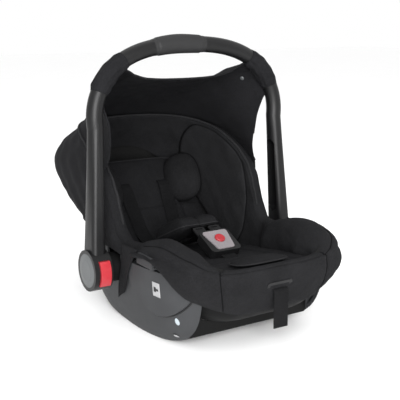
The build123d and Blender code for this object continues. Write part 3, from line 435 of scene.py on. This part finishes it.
def through(keys, at):
    """Smooth values between (place, value) keys, without overshoot."""
    place, value = np.array(keys, float).T
    at = np.asarray(at, float)
    step = np.diff(place)
    rise = np.diff(value) / step
    slope = np.concatenate((rise[:1], np.zeros(len(rise) - 1), rise[-1:]))
    same = rise[:-1] * rise[1:] > 0
    slope[1:-1][same] = 2 * (rise[:-1] * rise[1:])[same] / (rise[:-1] + rise[1:])[same]
    i = np.clip(np.searchsorted(place, at) - 1, 0, len(step) - 1)
    t = np.clip((at - place[i]) / step[i], 0, 1)
    start = value[i] * (1 + 2 * t) * (1 - t) ** 2 + value[i + 1] * t * t * (3 - 2 * t)
    return start + step[i] * (slope[i] * t * (1 - t) ** 2 + slope[i + 1] * t * t * (t - 1))


def fade(at, start, end):
    """Smooth step from 0 to 1."""
    t = np.clip((np.asarray(at, float) - start) / (end - start), 0, 1)
    return t * t * (3 - 2 * t)


def bell(at, middle, width):
    """Smooth bump of height 1."""
    return np.exp(-((at - middle) / width) ** 2)


def unit(vectors):
    return vectors / np.linalg.norm(vectors, axis=-1, keepdims=True)


def run_along(points):
    """Distance of each point from the first, along the line."""
    return np.concatenate(([0], np.cumsum(np.linalg.norm(np.diff(points, axis=0), axis=1))))


def circle(count):
    return np.linspace(0, 2 * np.pi, count, endpoint=False)


def by_height(levels, column, height):
    """One size of the bucket or the base at a height."""
    return through(levels[:, (0, column)], height)


def outline(turn, height, grow):
    """Plan points of the bucket; the turn runs from the middle of the front over +X to the rear and back."""
    across, along = np.sin(turn), -np.cos(turn)
    power = np.where(along < 0, FRONT_POWER, REAR_POWER)
    reach = (np.abs(across) ** power + np.abs(along) ** power) ** (-1 / power)
    rear, front, half = (by_height(LEVELS, column, height) for column in (REAR, FRONT, HALF_WIDTH))
    length = np.where(along < 0, WIDEST_Y - front, rear - WIDEST_Y) + grow
    return (half + grow) * across * reach, WIDEST_Y + length * along * reach


def even_turns(count, steps=8001):
    """Turns at even spacing along the outline, and the distance of each from the middle of the front."""
    fine = np.linspace(0, 2 * np.pi, steps)
    run = run_along(np.column_stack(outline(fine, np.full(fine.shape, PLAN_HEIGHT), 0)))
    places = np.arange(count) / count * run[-1]
    return np.interp(places, run, fine), np.minimum(places, run[-1] - places)


def ripple(points, size, amount, seed=0.0):
    """Soft unevenness of cloth at a place, from a few crossed waves."""
    x, y, z = points[..., 0] / size, points[..., 1] / size, points[..., 2] / size
    waves = np.sin(x * 2.1 + y * 1.3 + seed) * np.sin(y * 1.7 - z * 2.3 + 2 * seed)
    waves = waves + 0.6 * np.sin(z * 3.1 + x * 1.9 + 3 * seed) * np.sin(x * 3.7 - y * 2.9 + seed)
    return amount * waves


def bend_path(points, count):
    """Even points along a rounded line through a few places."""
    points = np.asarray(points, float)
    run = run_along(points)
    at = np.linspace(0, run[-1], count)
    return np.column_stack([through(np.column_stack((run, points[:, c])), at) for c in range(3)])


# Meshes

def face_mesh(name, points, faces, material):
    """Smooth mesh from points in millimetres, with its look and slot."""
    mesh = bpy.data.meshes.new(name)
    mesh.from_pydata((np.asarray(points) * MM).tolist(), [], faces)
    mesh.validate()
    mesh.polygons.foreach_set("use_smooth", [True] * len(mesh.polygons))
    piece = bpy.data.objects.new(name, mesh)
    bpy.context.collection.objects.link(piece)
    mesh.materials.append(looks[material])
    return piece


def grid_mesh(name, points, material, wrap_rows=False, wrap_columns=False):
    """Mesh from a grid of points, rows by columns."""
    rows, columns = points.shape[:2]
    faces = []
    for r in range(rows if wrap_rows else rows - 1):
        for c in range(columns if wrap_columns else columns - 1):
            r2, c2 = (r + 1) % rows, (c + 1) % columns
            faces.append((r * columns + c, r * columns + c2, r2 * columns + c2, r2 * columns + c))
    return face_mesh(name, points.reshape(-1, 3), faces, material)


def outward(piece):
    """Faces turned to the outside."""
    shape = bmesh.new()
    shape.from_mesh(piece.data)
    bmesh.ops.recalc_face_normals(shape, faces=shape.faces)
    shape.to_mesh(piece.data)
    shape.free()
    return piece


def thicken(piece, gauge, offset=0):
    """Sheet given a thickness in millimetres, worked into its mesh."""
    change = piece.modifiers.new("solidify", "SOLIDIFY")
    change.thickness = gauge * MM
    change.offset = offset
    bpy.context.view_layer.update()
    solved = piece.evaluated_get(bpy.context.evaluated_depsgraph_get())
    mesh = bpy.data.meshes.new_from_object(solved)
    piece.modifiers.clear()
    old, piece.data = piece.data, mesh
    bpy.data.meshes.remove(old)
    mesh.polygons.foreach_set("use_smooth", [True] * len(mesh.polygons))
    return piece


def tube(name, path, radius, material, closed=False, sides=10):
    """Round cord along points in millimetres."""
    path = np.asarray(path, float)
    ahead = np.roll(path, -1, 0) - np.roll(path, 1, 0)
    if not closed:
        ahead[0], ahead[-1] = path[1] - path[0], path[-1] - path[-2]
    ahead = unit(ahead)
    off_axis = (0.31, 0.17, 0.94)
    side = unit(np.cross(ahead, off_axis))
    up = np.cross(side, ahead)
    turn = circle(sides)[:, None]
    rings = path[:, None] + radius * (np.cos(turn) * side[:, None] + np.sin(turn) * up[:, None])
    return outward(grid_mesh(name, rings, material, wrap_rows=closed, wrap_columns=True))


def ribbon(name, path, right, width, gauge):
    """Webbing along a path, with slightly rounded edges."""
    edge_power, face_power, count = 0.25, 0.5, 28
    out = np.cross(right, unit(np.gradient(path, axis=0)))
    turn = circle(count)
    wide = np.sign(np.cos(turn)) * np.abs(np.cos(turn)) ** edge_power * width / 2
    thick = np.sign(np.sin(turn)) * np.abs(np.sin(turn)) ** face_power * gauge / 2
    rings = path[:, None] + wide[:, None] * right + thick[:, None] * out[:, None]
    return outward(grid_mesh(name, rings, "webbing", wrap_columns=True))


def rounded_square(count, power):
    """Grid of places from -1 to 1, squeezed into a rounded outline, and how far each is from the edge."""
    tiny = 1e-9
    span = np.linspace(-1, 1, count + 1)
    u, v = np.meshgrid(span, span, indexing="ij")
    reach = (np.abs(u) ** power + np.abs(v) ** power) ** (1 / power)
    fit = np.where(reach > tiny, np.maximum(np.abs(u), np.abs(v)) / np.maximum(reach, tiny), 1)
    u, v = u * fit, v * fit
    return u, v, np.clip(1 - (np.abs(u) ** power + np.abs(v) ** power) ** (2 / power), 0, 1)


def stuffed(name, top, bottom, material):
    """Closed pad from two grids that share their edge, and the line of that edge."""
    rows = top.shape[0]
    index = np.arange(rows * rows).reshape(rows, rows)
    rim = np.zeros((rows, rows), bool)
    rim[0], rim[-1], rim[:, 0], rim[:, -1] = True, True, True, True
    low = np.where(rim, index, index + rows * rows)
    faces = []
    for r in range(rows - 1):
        for c in range(rows - 1):
            faces.append((index[r, c], index[r + 1, c], index[r + 1, c + 1], index[r, c + 1]))
            faces.append((low[r, c], low[r, c + 1], low[r + 1, c + 1], low[r + 1, c]))
    points = np.concatenate((top.reshape(-1, 3), bottom.reshape(-1, 3)))
    piece = outward(face_mesh(name, points, faces, material))
    return piece, np.concatenate((top[:-1, 0], top[-1, :-1], top[:0:-1, -1], top[0, :0:-1]))


def pillow(name, origin, axes, half_width, half_length, crown, depth, material, power, edge, count, seams=()):
    """Stuffed pad on a plane: rounded outline, crowned face, flatter back and stitched grooves."""
    right, ahead, out = axes
    u, v, inside = rounded_square(count, power)
    swell = inside ** edge
    face = np.zeros(u.shape)
    for way, place, width, drop in seams:
        face -= drop * bell(u if way == "along" else v, place, width) * swell
    flat = origin + half_width * u[..., None] * right + half_length * v[..., None] * ahead
    top = flat + (crown * swell + face)[..., None] * out
    top = top + (ripple(top, size=16.0, amount=0.5, seed=1.0) * swell)[..., None] * out
    return stuffed(name, top, flat - (depth * swell)[..., None] * out, material)


def seat_piece(piece, fill, *nodes):
    """Stuffed piece that stays with the seat, in place of these solids."""
    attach(piece, "seat")
    if nodes:
        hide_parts(*nodes)


def trim(piece):
    """Piece that stays with the seat."""
    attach(piece, "seat")


# Cover: skirt, rounded thigh sides and lining in one surface, with stitched grooves

def cover_rows(turns, run, plan_y):
    """Offset from the outline and height of each row of the cover, from the hem to the foot of the lining."""
    rim = through(RIM, plan_y) + COVER_OVER_RIM
    hem = through(COVER_HEM, run)
    thigh = fade(run, *THIGH_START) * (1 - fade(run, *THIGH_END))
    side = fade(run, *SIDE_START) * (1 - fade(run, *SIDE_END))
    corner = CORNER_SWELL * bell(run, CORNER_RUN, CORNER_WIDTH)
    low = SKIRT_OFFSET + SIDE_OFFSET * side + corner
    high = SKIRT_OFFSET + THIGH_OFFSET * thigh + corner
    puff = SKIRT_PUFF + THIGH_PUFF * thigh
    inner = LINING_OFFSET + THIGH_LINING * thigh
    cap = CAP_HEIGHT + THIGH_CAP * thigh
    groove = bell(run, CORNER_SEAM_RUN, CORNER_SEAM_WIDTH)
    rows = [(low - back, hem + lift) for back, lift in HEM_FOLD]
    for s in np.linspace(0, 1, SKIRT_ROWS + 1)[:-1]:
        seam = groove * (SKIRT_SEAM_DEPTH + SKIRT_SEAM_GAIN * s)
        offset = low + (high - low) * s + puff * math.sin(math.pi * s) ** PUFF_POWER - seam
        rows.append((offset, hem + (rim - cap - hem) * s))
    front = 1 - fade(run, *STITCH_END)
    middle, width = (high + inner) / 2, (high - inner) / 2
    for a in np.linspace(0, math.pi, CAP_ROWS):
        stitch = front * bell(a, STITCH_TURN, STITCH_WIDTH)
        drop = (groove * CAP_SEAM_DROP + stitch * STITCH_DROP) * math.sin(a) ** CAP_SEAM_POWER
        offset = middle + width * math.cos(a) - groove * CAP_SEAM_DEPTH * math.cos(a)
        rows.append((offset, rim - cap + cap * math.sin(a) ** CAP_POWER - drop))
    inside_y = outline(turns, rim - cap - LINING_LEVEL, inner)[1]
    seat_z = BIGHT[2] + (BIGHT[1] - inside_y) * math.tan(SEAT_ANGLE)
    back_z = BIGHT[2] + (inside_y - BIGHT[1]) * math.tan(BACK_ANGLE)
    bottom = np.minimum(rim - cap - LINING_LEAST, np.maximum(seat_z, back_z) - LINING_SINK)
    for t in np.linspace(0, 1, LINING_ROWS + 1)[1:]:
        hollow = math.sin(math.pi * t)
        bulge = thigh * (LINING_FOOT * t - THIGH_HOLLOW * hollow) - (1 - thigh) * LINING_HOLLOW * hollow
        rows.append((inner + bulge, rim - cap + (bottom - rim + cap) * t))
    return rows


def wing_panel(name, lining):
    """Padded panel sewn on the inside of a wing, over a grid of places on the lining; its fabric is lighter
    than the lining as painted light falling on the wing.
    """
    u, v, inside = rounded_square(WING_COUNT, WING_POWER)
    past_end = 1.001
    rows = (v + 1) / 2 * (lining.shape[0] - past_end)
    columns = (u + 1) / 2 * (lining.shape[1] - past_end)
    r, c = rows.astype(int), columns.astype(int)
    a, b = (rows - r)[..., None], (columns - c)[..., None]
    base = (lining[r, c] * (1 - a) + lining[r + 1, c] * a) * (1 - b)
    base = base + (lining[r, c + 1] * (1 - a) + lining[r + 1, c + 1] * a) * b
    inward = unit(np.array((0, WIDEST_Y, 0)) - base * np.array((1, 1, 0)))
    swell = inside[..., None] ** WING_EDGE
    top = base + inward * (WING_GAP + WING_CROWN * swell)
    panel, edge = stuffed(name, top, base - inward * (WING_DEPTH * swell), "wing_fabric_painted_light")
    seat_piece(panel, WING_FILL)
    trim(tube(f"{name}_seam", edge, WING_SEAM_RADIUS, "seam_thread_and_shade", closed=True))


def build_cover():
    turns, run = even_turns(COVER_COLUMNS)
    plan_x, plan_y = outline(turns, np.full(turns.shape, PLAN_HEIGHT), 0)
    points = []
    for offset, height in cover_rows(turns, run, plan_y):
        points.append(np.column_stack((*outline(turns, height, offset), height)))
    points = np.array(points)
    sway = ripple(points, size=24.0, amount=0.9) + ripple(points, size=9.0, amount=0.35, seed=2.0)
    points[:, :, :2] += unit(points[:, :, :2] - np.array((0, WIDEST_Y))) * sway[..., None]
    cover = outward(grid_mesh("cover", points, "cover_fabric", wrap_columns=True))
    seat_piece(cover, COVER_FILL, "seat_cover")
    cap_row = len(HEM_FOLD) + SKIRT_ROWS
    piping = points[cap_row + PIPING_ROW, plan_y > PIPING_START] + np.array((0, 0, PIPING_LIFT))
    trim(tube("cover_piping", piping, PIPING_RADIUS, "piping"))
    for side, hand in SIDES:
        columns = np.flatnonzero((plan_x * side > 0) & (plan_y > WING_START) & (plan_y < WING_END))
        wing_panel(f"wing_panel_{hand}", points[cap_row + WING_ROW:, columns])
    ahead = run < FRONT_SEAM_RUN
    columns = np.concatenate((np.flatnonzero((plan_x < 0) & ahead), np.flatnonzero((plan_x >= 0) & ahead)))
    trim(tube("front_seam", points[cap_row + FRONT_SEAM_ROW, columns], COVER_SEAM_RADIUS, "seam_thread_and_shade"))
    for side, hand in SIDES:
        column = np.argmin(np.where(plan_x * side < 0, np.inf, np.abs(run - CORNER_SEAM_RUN)))
        line = points[CORNER_SEAM_FROM:cap_row + CORNER_SEAM_TO, column]
        trim(tube(f"corner_seam_{hand}", line, COVER_SEAM_RADIUS, "seam_thread_and_shade"))


# Canopy: hood between the rim and the handle, dome round the head end, sleeves on the handle

def around_hub(x, reach, turn):
    """Points at a distance and a turn, in degrees back from upright, about the axis of the hubs."""
    turn = np.radians(turn)
    return np.stack((x, HUB[1] + reach * np.sin(turn), HUB[2] + reach * np.cos(turn)), axis=-1)


def rim_turns(u):
    """Turns of the outline round the head end, from the right wing over the rear to the left wing."""
    return np.pi - u * (np.pi / 2 - RIM_STOP)


def rim_places(u):
    """Places on the rim of the head end; height and place along the seat are found in a few rounds."""
    y = np.full(u.shape, RIM_FIRST_Y)
    for _ in range(RIM_ROUNDS):
        x, y = outline(rim_turns(u), through(RIM, y) + RIM_LIFT, RIM_OFFSET)
    return np.column_stack((x, y, through(RIM, y) + RIM_LIFT))


def press_stud(name, middle, right, ahead, out):
    """Domed press stud with a flat flange, standing on the fabric at its middle; its light grey is a painted
    highlight on a dark stud.
    """
    turn = circle(STUD_SIDES)
    ring = np.outer(np.cos(turn), right) + np.outer(np.sin(turn), ahead)
    rows = [middle + radius * ring + height * out for radius, height in STUD_PROFILE]
    # Light grey cap plastic: painted highlight, the stud itself being dark grey
    return outward(grid_mesh(name, np.array(rows), "cap_plastic", wrap_columns=True))


def hood_points():
    u = np.linspace(-1, 1, CANOPY_COLUMNS)
    near = np.abs(u)
    start = rim_places(u)
    away = start - HUB
    rim_reach = np.hypot(away[:, 1], away[:, 2])
    rim_turn = np.degrees(np.arctan2(away[:, 1], away[:, 2]))
    bar_x = np.sign(u) * through((*HOOD_ACROSS, (1, abs(start[0, 0]))), near)
    bar_reach = through((*HOOD_REACH, (1, rim_reach[0])), near)
    bar_turn = through((*HOOD_TURN, (1, rim_turn[0])), near)
    tuck = np.sign(u) * TUCK_DEPTH * bell(near, TUCK_SHARE, TUCK_WIDTH)
    rows = []
    for v in np.linspace(0, 1, HOOD_ROWS):
        arch = 4 * v * (1 - v)
        reach = rim_reach + (bar_reach - rim_reach) * v - HOOD_SAG * arch * (1 - u * u)
        x = start[:, 0] + (bar_x - start[:, 0]) * v - arch * tuck
        points = around_hub(x, reach, rim_turn + (bar_turn - rim_turn) * v)
        gather = GATHER_HEIGHT * bell(near, GATHER_SHARE, GATHER_WIDTH) * fade(v, GATHER_START, 1.0)
        folds = gather * np.sin(near * GATHER_WAVES + GATHER_SLANT * v)
        points[:, 2] += folds + ripple(points, size=30.0, amount=1.6) * arch
        rows.append(points)
    return np.array(rows)


def build_hood():
    points = hood_points()
    hood = thicken(grid_mesh("canopy_hood", points, "canopy_fabric"), HOOD_GAUGE)
    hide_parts("canopy_front")
    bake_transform(hood)
    edge = points[-1, HOOD_EDGE_MARGIN:-HOOD_EDGE_MARGIN]
    edge = tube("canopy_edge", edge, HOOD_EDGE_RADIUS, "canopy_fabric")
    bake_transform(edge)
    for hand, column in (("right", STUD_COLUMN), ("left", CANOPY_COLUMNS - 1 - STUD_COLUMN)):
        middle = points[STUD_ROW, column]
        along = unit(points[STUD_ROW, column + 1] - points[STUD_ROW, column - 1])
        up = points[STUD_ROW + 1, column] - points[STUD_ROW - 1, column]
        inward = unit(np.cross(along, up))
        inward *= np.sign(np.dot(inward, HUB - middle))
        ahead = np.cross(inward, along)
        stud = press_stud(f"canopy_stud_{hand}", middle + STUD_LIFT * inward, along, ahead, inward)
        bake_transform(stud)


def build_dome():
    u = np.linspace(-1, 1, CANOPY_COLUMNS)
    across, along = np.sin(rim_turns(u)), -np.cos(rim_turns(u))
    top = rim_places(u)
    low = DOME_HEM + DOME_HEM_RISE * (1 - u * u)
    rows = [top + np.array((0, 0, DOME_TOP_LIFT))]
    for w in np.linspace(0, 1, DOME_ROWS)[1:]:
        z = top[:, 2] + (low - top[:, 2]) * w
        full = math.sin(math.pi * min(1, w * DOME_FULL_SPAN)) ** DOME_FULL_POWER
        power = REAR_POWER + DOME_SQUARENESS * full
        half = by_height(LEVELS, HALF_WIDTH, z) + DOME_OFFSET + DOME_SIDE_SWELL * full
        length = by_height(LEVELS, REAR, z) - WIDEST_Y + DOME_OFFSET
        length = length + DOME_CROWN * full * fade(-w, *DOME_CROWN_FADE) + DOME_REAR_SWELL * full
        reach = (np.abs(across) ** power + np.abs(along) ** power) ** (-1 / power)
        points = np.column_stack((half * across * reach, WIDEST_Y + length * along * reach, z))
        swell = ripple(points, size=26.0, amount=1.5) - DOME_TUCK * max(0, w - DOME_TUCK_START)
        points[:, :2] += np.column_stack((across, along)) * swell[:, None]
        rows.append(points)
    points = np.array(rows)
    dome = thicken(grid_mesh("canopy_dome", points, "canopy_fabric"), DOME_GAUGE)
    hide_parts("canopy_rear")
    trim(dome)
    trim(tube("dome_hem", points[-1], DOME_HEM_RADIUS, "canopy_fabric"))
    trim(tube("dome_seam", points[0] + np.array((0, 0, DOME_SEAM_LIFT)), DOME_SEAM_RADIUS, "piping"))


def along_bar(start, end):
    """Middle of the bar between two shares of its length, the way to its side, and the share of the span."""
    turn = np.linspace(np.pi, 0, BAR_STEPS)
    across = BAR_HALF_WIDTH * np.sign(np.cos(turn)) * np.abs(np.cos(turn)) ** BAR_POWER
    reach = BAR_FOOT + BAR_RISE * np.abs(np.sin(turn)) ** BAR_POWER
    run = run_along(np.column_stack((across, reach)))
    share = np.linspace(0, 1, BAR_COUNT)
    share = share[(share >= start) & (share <= end)]
    across, reach = np.interp(share, run / run[-1], across), np.interp(share, run / run[-1], reach)
    middle = HUB + across[:, None] * ACROSS + reach[:, None] * HANDLE_UP
    ahead = unit(np.gradient(middle, axis=0))
    return middle, np.cross(ahead, HANDLE_BACK), np.linspace(0, 1, len(middle))[:, None]


def between_ends(t, end):
    """1 along the middle of a span, fading to 0 at both ends."""
    return np.minimum(fade(t, 0, end), 1 - fade(t, 1 - end, 1))


def around_bar(name, middle, side, turn, radius, material):
    """Skin round the bar, with a radius for each place along it and each turn about it."""
    spot = (np.cos(turn) * radius)[..., None] * HANDLE_BACK
    spot = spot + (np.sin(turn) * radius)[..., None] * side[:, None]
    return outward(grid_mesh(name, middle[:, None] + spot, material, wrap_columns=True))


def build_sleeves():
    turn = circle(SLEEVE_SIDES)
    for hand, start, end in SLEEVE_SPANS:
        middle, side, t = along_bar(start, end)
        loose = between_ends(t, SLEEVE_END)
        # Folds of two widths along the bar, crossed by slanting ones
        fold = 0.55 * np.sin(turn * 6 + 4 * t) + 0.5 * np.sin(turn * 11 - 7 * t + 1.0)
        fold = fold + 0.6 * np.sin(t * 19 + 2 * np.sin(turn * 2 + 1)) * np.sin(turn * 1.5 + 4 * t)
        fold = fold * (SLEEVE_END_FOLD + (1 - SLEEVE_END_FOLD) * loose)
        radius = SLEEVE_RADIUS + SLEEVE_SWELL * loose + fold
        sleeve = around_bar(f"sleeve_{hand}", middle, side, turn, radius, "canopy_fabric")
        thicken(sleeve, SLEEVE_GAUGE, offset=-1)
        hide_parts(f"canopy_sleeve_{hand}")
        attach(sleeve, "handle")


def build_grip():
    """Soft grip that swells from the bar and fills the palm on its under side."""
    middle, side, t = along_bar(GRIP_START, GRIP_STOP)
    turn = circle(GRIP_SIDES)
    under = np.clip(np.sin(turn), 0, 1) ** 2
    palm = GRIP_PALM * under * np.sin(np.pi * t) ** GRIP_PALM_POWER
    radius = GRIP_RADIUS + GRIP_SWELL * between_ends(t, GRIP_END) + palm
    for place in GRIP_GROOVE_PLACES:
        radius = radius - GRIP_GROOVE * bell(t, place, GRIP_GROOVE_WIDTH)
    grip = around_bar("grip", middle, side, turn, radius, "grip_rubber")
    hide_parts("handle_grip")
    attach(grip, "handle")


# Newborn insert, head bolsters and harness

def on_back(up, out, across=0.0):
    """Place by its distance up the back rest from the bight, out of the rest and across."""
    return BIGHT + BACK_UP * up + BACK_OUT * out + ACROSS * across


def on_seat(ahead, out):
    """Place by its distance ahead of the bight along the seat, and out of the seat."""
    return BIGHT + SEAT_FORWARD * ahead + SEAT_OUT * out


def build_insert():
    back, line = pillow("insert_back_pad", on_back(*BACK_PAD_PLACE), (ACROSS, BACK_UP, BACK_OUT),
                        half_width=130, half_length=108, crown=13, depth=16, material="insert_fabric",
                        power=5.0, edge=0.4, count=72, seams=BACK_PAD_SEAMS)
    seat_piece(back, INSERT_FILL, "insert_back")
    trim(tube("insert_back_piping", line, BACK_PAD_PIPING, "piping", closed=True))
    seat, _ = pillow("insert_seat_pad", on_seat(*SEAT_PAD_PLACE), (ACROSS, SEAT_FORWARD, SEAT_OUT),
                     half_width=134, half_length=190, crown=11, depth=14, material="insert_fabric",
                     power=6.0, edge=0.4, count=84, seams=SEAT_PAD_SEAMS)
    seat_piece(seat, INSERT_FILL, "insert_seat")
    for side, hand in SIDES:
        face = unit(BACK_OUT * BOLSTER_FACE_OUT - side * ACROSS * BOLSTER_FACE_IN)
        right = unit(np.cross(BACK_UP * BOLSTER_UP + side * ACROSS * BOLSTER_SPREAD, face))
        up, out, across = BOLSTER_PLACE
        bolster, line = pillow(f"head_bolster_{hand}_pad", on_back(up, out, side * across),
                               (right, np.cross(face, right), face),
                               half_width=40, half_length=54, crown=24, depth=24, material="bolster_fabric",
                               power=2.5, edge=0.5, count=44)
        seat_piece(bolster, BOLSTER_FILL, f"head_bolster_{hand}")
        # Dark seam tube: painted shade of the stitched groove round the bolster
        trim(tube(f"head_bolster_{hand}_seam", line, BOLSTER_SEAM_RADIUS, "seam_thread_and_shade", closed=True))


def shoulder_path(side):
    """Places of a shoulder strap, from the buckle to its slot in the back rest; it spreads on the way."""
    slot_y = on_back(STRAP_SLOT_UP, 0)[1]
    points = [BUCKLE_MOUTH, on_seat(*STRAP_ON_SEAT), *(on_back(*place) for place in STRAP_ON_BACK),
              on_back(STRAP_SLOT_UP, STRAP_SLOT_OUT), on_back(STRAP_SLOT_UP, STRAP_SLOT_DEPTH)]
    path = []
    for point in points:
        share = min(1, (point[1] - BUCKLE_MOUTH[1]) / (slot_y - BUCKLE_MOUTH[1]))
        path.append(point + side * (STRAP_NARROW + STRAP_SPREAD * share) * ACROSS)
    return path


def build_strap(node, path, count, gauge=WEB_GAUGE):
    """Webbing of the harness, in place of its solid."""
    strap = ribbon(f"{node}_web", bend_path(path, count), ACROSS, WEB_WIDTH, gauge)
    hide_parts(node)
    trim(strap)


def build_harness():
    for side, hand in SIDES:
        path = shoulder_path(side)
        build_strap(f"shoulder_strap_{hand}", path, count=110)
        ahead = unit(path[1] - path[0])
        out = unit(np.cross(ACROSS, ahead))
        out *= np.sign(out[2])
        pad, edge = pillow(f"shoulder_pad_{hand}_pad", path[0] + ahead * PAD_ALONG + out * PAD_OUT,
                           (np.cross(ahead, out), ahead, out),
                           half_width=25, half_length=52, crown=25, depth=12, material="pad_fabric",
                           power=5.0, edge=0.42, count=40, seams=PAD_SEAMS)
        seat_piece(pad, PAD_FILL, f"shoulder_pad_{hand}")
        trim(tube(f"shoulder_pad_{hand}_edge", edge, PAD_EDGE_RADIUS, "piping", closed=True))
    build_strap("crotch_strap", CROTCH_PATH, count=50)
    pad, edge = pillow("crotch_pad_flap", on_seat(*CROTCH_PAD_PLACE), (ACROSS, SEAT_FORWARD, SEAT_OUT),
                       half_width=54, half_length=27, crown=8, depth=5, material="pad_fabric",
                       power=3.0, edge=0.5, count=36)
    seat_piece(pad, PAD_FILL, "crotch_pad")
    trim(tube("crotch_pad_edge", edge, CROTCH_PAD_EDGE, "piping", closed=True))
    build_strap("adjuster_strap", TAIL_PATH, count=60, gauge=TAIL_GAUGE)


# Small details of the base, and the tabs of the cover beside the hubs

def base_side(y, z, proud):
    """Place on the right side of the base, a little proud of its wall."""
    front, half = by_height(BASE, FRONT, z), by_height(BASE, HALF_WIDTH, z)
    share = np.clip((WIDEST_Y - y) / (WIDEST_Y - front), 0, SIDE_LIMIT)
    return np.stack((-(half * (1 - share ** FRONT_POWER) ** (1 / FRONT_POWER) + proud), y, z), axis=-1)


def side_plate(name, along, height, proud, material, oval):
    """Thin plate that lies on the right side of the base."""
    span = np.linspace(-1, 1, PLATE_COUNT)
    u, v = np.meshgrid(span, span, indexing="ij")
    if oval:
        u, v = u * np.sqrt(1 - v * v / 2), v * np.sqrt(1 - u * u / 2)
    y, z = (sum(ends) / 2 + at * (ends[1] - ends[0]) / 2 for ends, at in ((along, u), (height, v)))
    plate = thicken(grid_mesh(name, base_side(y, z, proud), material), PLATE_GAUGE, offset=1)
    trim(outward(plate))


def hub_flap(name, side):
    """Elastic tab of the cover that hangs between the hub and the half-moon panel."""
    u, v = np.meshgrid(np.linspace(0, 1, FLAP_ROWS), np.linspace(-1, 1, FLAP_COLUMNS), indexing="ij")
    y = FLAP_Y + FLAP_BACK * u - (1 - v) * (FLAP_HALF_WIDTH - FLAP_TAPER * u) + FLAP_SWAY * np.sin(5 * u)
    z = FLAP_Z - FLAP_DROP * u - FLAP_SLANT * v * u
    points = base_side(y, z, FLAP_PROUD - FLAP_LEAN * u + FLAP_WAVE * np.sin(7 * u + 2 * v))
    points[..., 0] *= -side
    tab = thicken(grid_mesh(name, points, "pad_fabric"), FLAP_GAUGE)
    trim(outward(tab))


def build_details():
    for plate in SIDE_PLATES:
        side_plate(*plate)
    turn = np.radians(np.linspace(*MOON_TURNS, MOON_COUNT))
    moon = base_side(MOON_Y + MOON_RADIUS * np.cos(turn), MOON_Z + MOON_RADIUS * np.sin(turn), MOON_PROUD)
    # Dark tubes along the half-moon panels' edges: painted shadow of the gap round each panel
    for side, hand in SIDES:
        line = moon * np.array((-side, 1, 1))
        trim(tube(f"moon_shadow_gap_{hand}", line, MOON_EDGE_RADIUS, "black_plastic", sides=8))
    for side, hand in SIDES:
        hub_flap(f"hub_flap_{hand}", side)


# Coil springs in place of the plain ones

def coil(name, node, body, foot, way, length, radius):
    """Coiled spring from its foot, along its way."""
    turn = np.linspace(0, 2 * np.pi * COIL_TURNS, COIL_POINTS)
    path = foot + np.outer(COIL_WIRE + (length - 2 * COIL_WIRE) * turn / turn[-1], way)
    path = path + radius * (np.outer(np.cos(turn), ACROSS) + np.outer(np.sin(turn), np.cross(way, ACROSS)))
    piece = tube(name, path, COIL_WIRE, "steel", sides=8)
    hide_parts(node)
    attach(piece, body)
    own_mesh(piece)


def build_springs():
    for hand in ("left", "right"):
        low, high = (np.array(corner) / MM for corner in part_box(f"button_spring_{hand}"))
        foot = np.array(((low[0] + high[0]) / 2, high[1], (low[2] + high[2]) / 2))
        coil(f"button_coil_{hand}", f"button_spring_{hand}", "handle",
             foot, BUTTON_WAY, length=high[1] - low[1], radius=(high[0] - low[0]) / 2 - COIL_MARGIN)
    coil("buckle_coil", "buckle_spring", "seat", BUCKLE_FOOT, BUCKLE_WAY,
         length=BUCKLE_COIL_LENGTH, radius=BUCKLE_COIL_RADIUS)


build_cover()
build_hood()
build_dome()
build_sleeves()
build_grip()
build_insert()
build_harness()
build_details()
build_springs()


# Floor, light and camera

def floor():
    """White paper, with a faint unevenness."""
    bpy.ops.mesh.primitive_plane_add(size=FLOOR_SIZE, location=(0, 0, 0))
    plane = bpy.context.object
    plane.name = "floor"
    material, nodes, links, surface = shader("floor_paper", (0.98, 0.98, 0.98), roughness=0.9)
    paper = noise(nodes, links, coordinates(nodes, links), scale=3.0)
    tone = ramp(nodes, links, paper, low=(0.975, 0.975, 0.975), high=(0.985, 0.985, 0.985))
    links.new(tone, surface.inputs["Base Color"])
    plane.data.materials.append(material)


def area_light(name, place, target, size, power):
    data = bpy.data.lights.new(name, "AREA")
    data.size = size
    data.energy = power
    lamp = bpy.data.objects.new(name, data)
    bpy.context.collection.objects.link(lamp)
    lamp.location = place
    lamp.rotation_euler = (Vector(target) - Vector(place)).to_track_quat("-Z", "Y").to_euler()


def camera():
    data = bpy.data.cameras.new("camera")
    data.sensor_width = CAMERA_SENSOR
    data.lens = CAMERA_LENS
    eye = bpy.data.objects.new("camera", data)
    bpy.context.collection.objects.link(eye)
    eye.location = CAMERA_PLACE
    level = math.cos(CAMERA_PITCH)
    look = Vector((math.sin(CAMERA_TURN) * level, math.cos(CAMERA_TURN) * level, -math.sin(CAMERA_PITCH)))
    eye.rotation_euler = look.to_track_quat("-Z", "Y").to_euler()
    bpy.context.scene.camera = eye


floor()
for lamp in LAMPS:
    area_light(*lamp)
world = bpy.data.worlds.new("studio")
bpy.context.scene.world = world
world.use_nodes = True
world.node_tree.nodes["Background"].inputs["Color"].default_value = (1, 1, 1, 1)
world.node_tree.nodes["Background"].inputs["Strength"].default_value = 1.0
bpy.context.scene.view_settings.view_transform = "Standard"
camera()
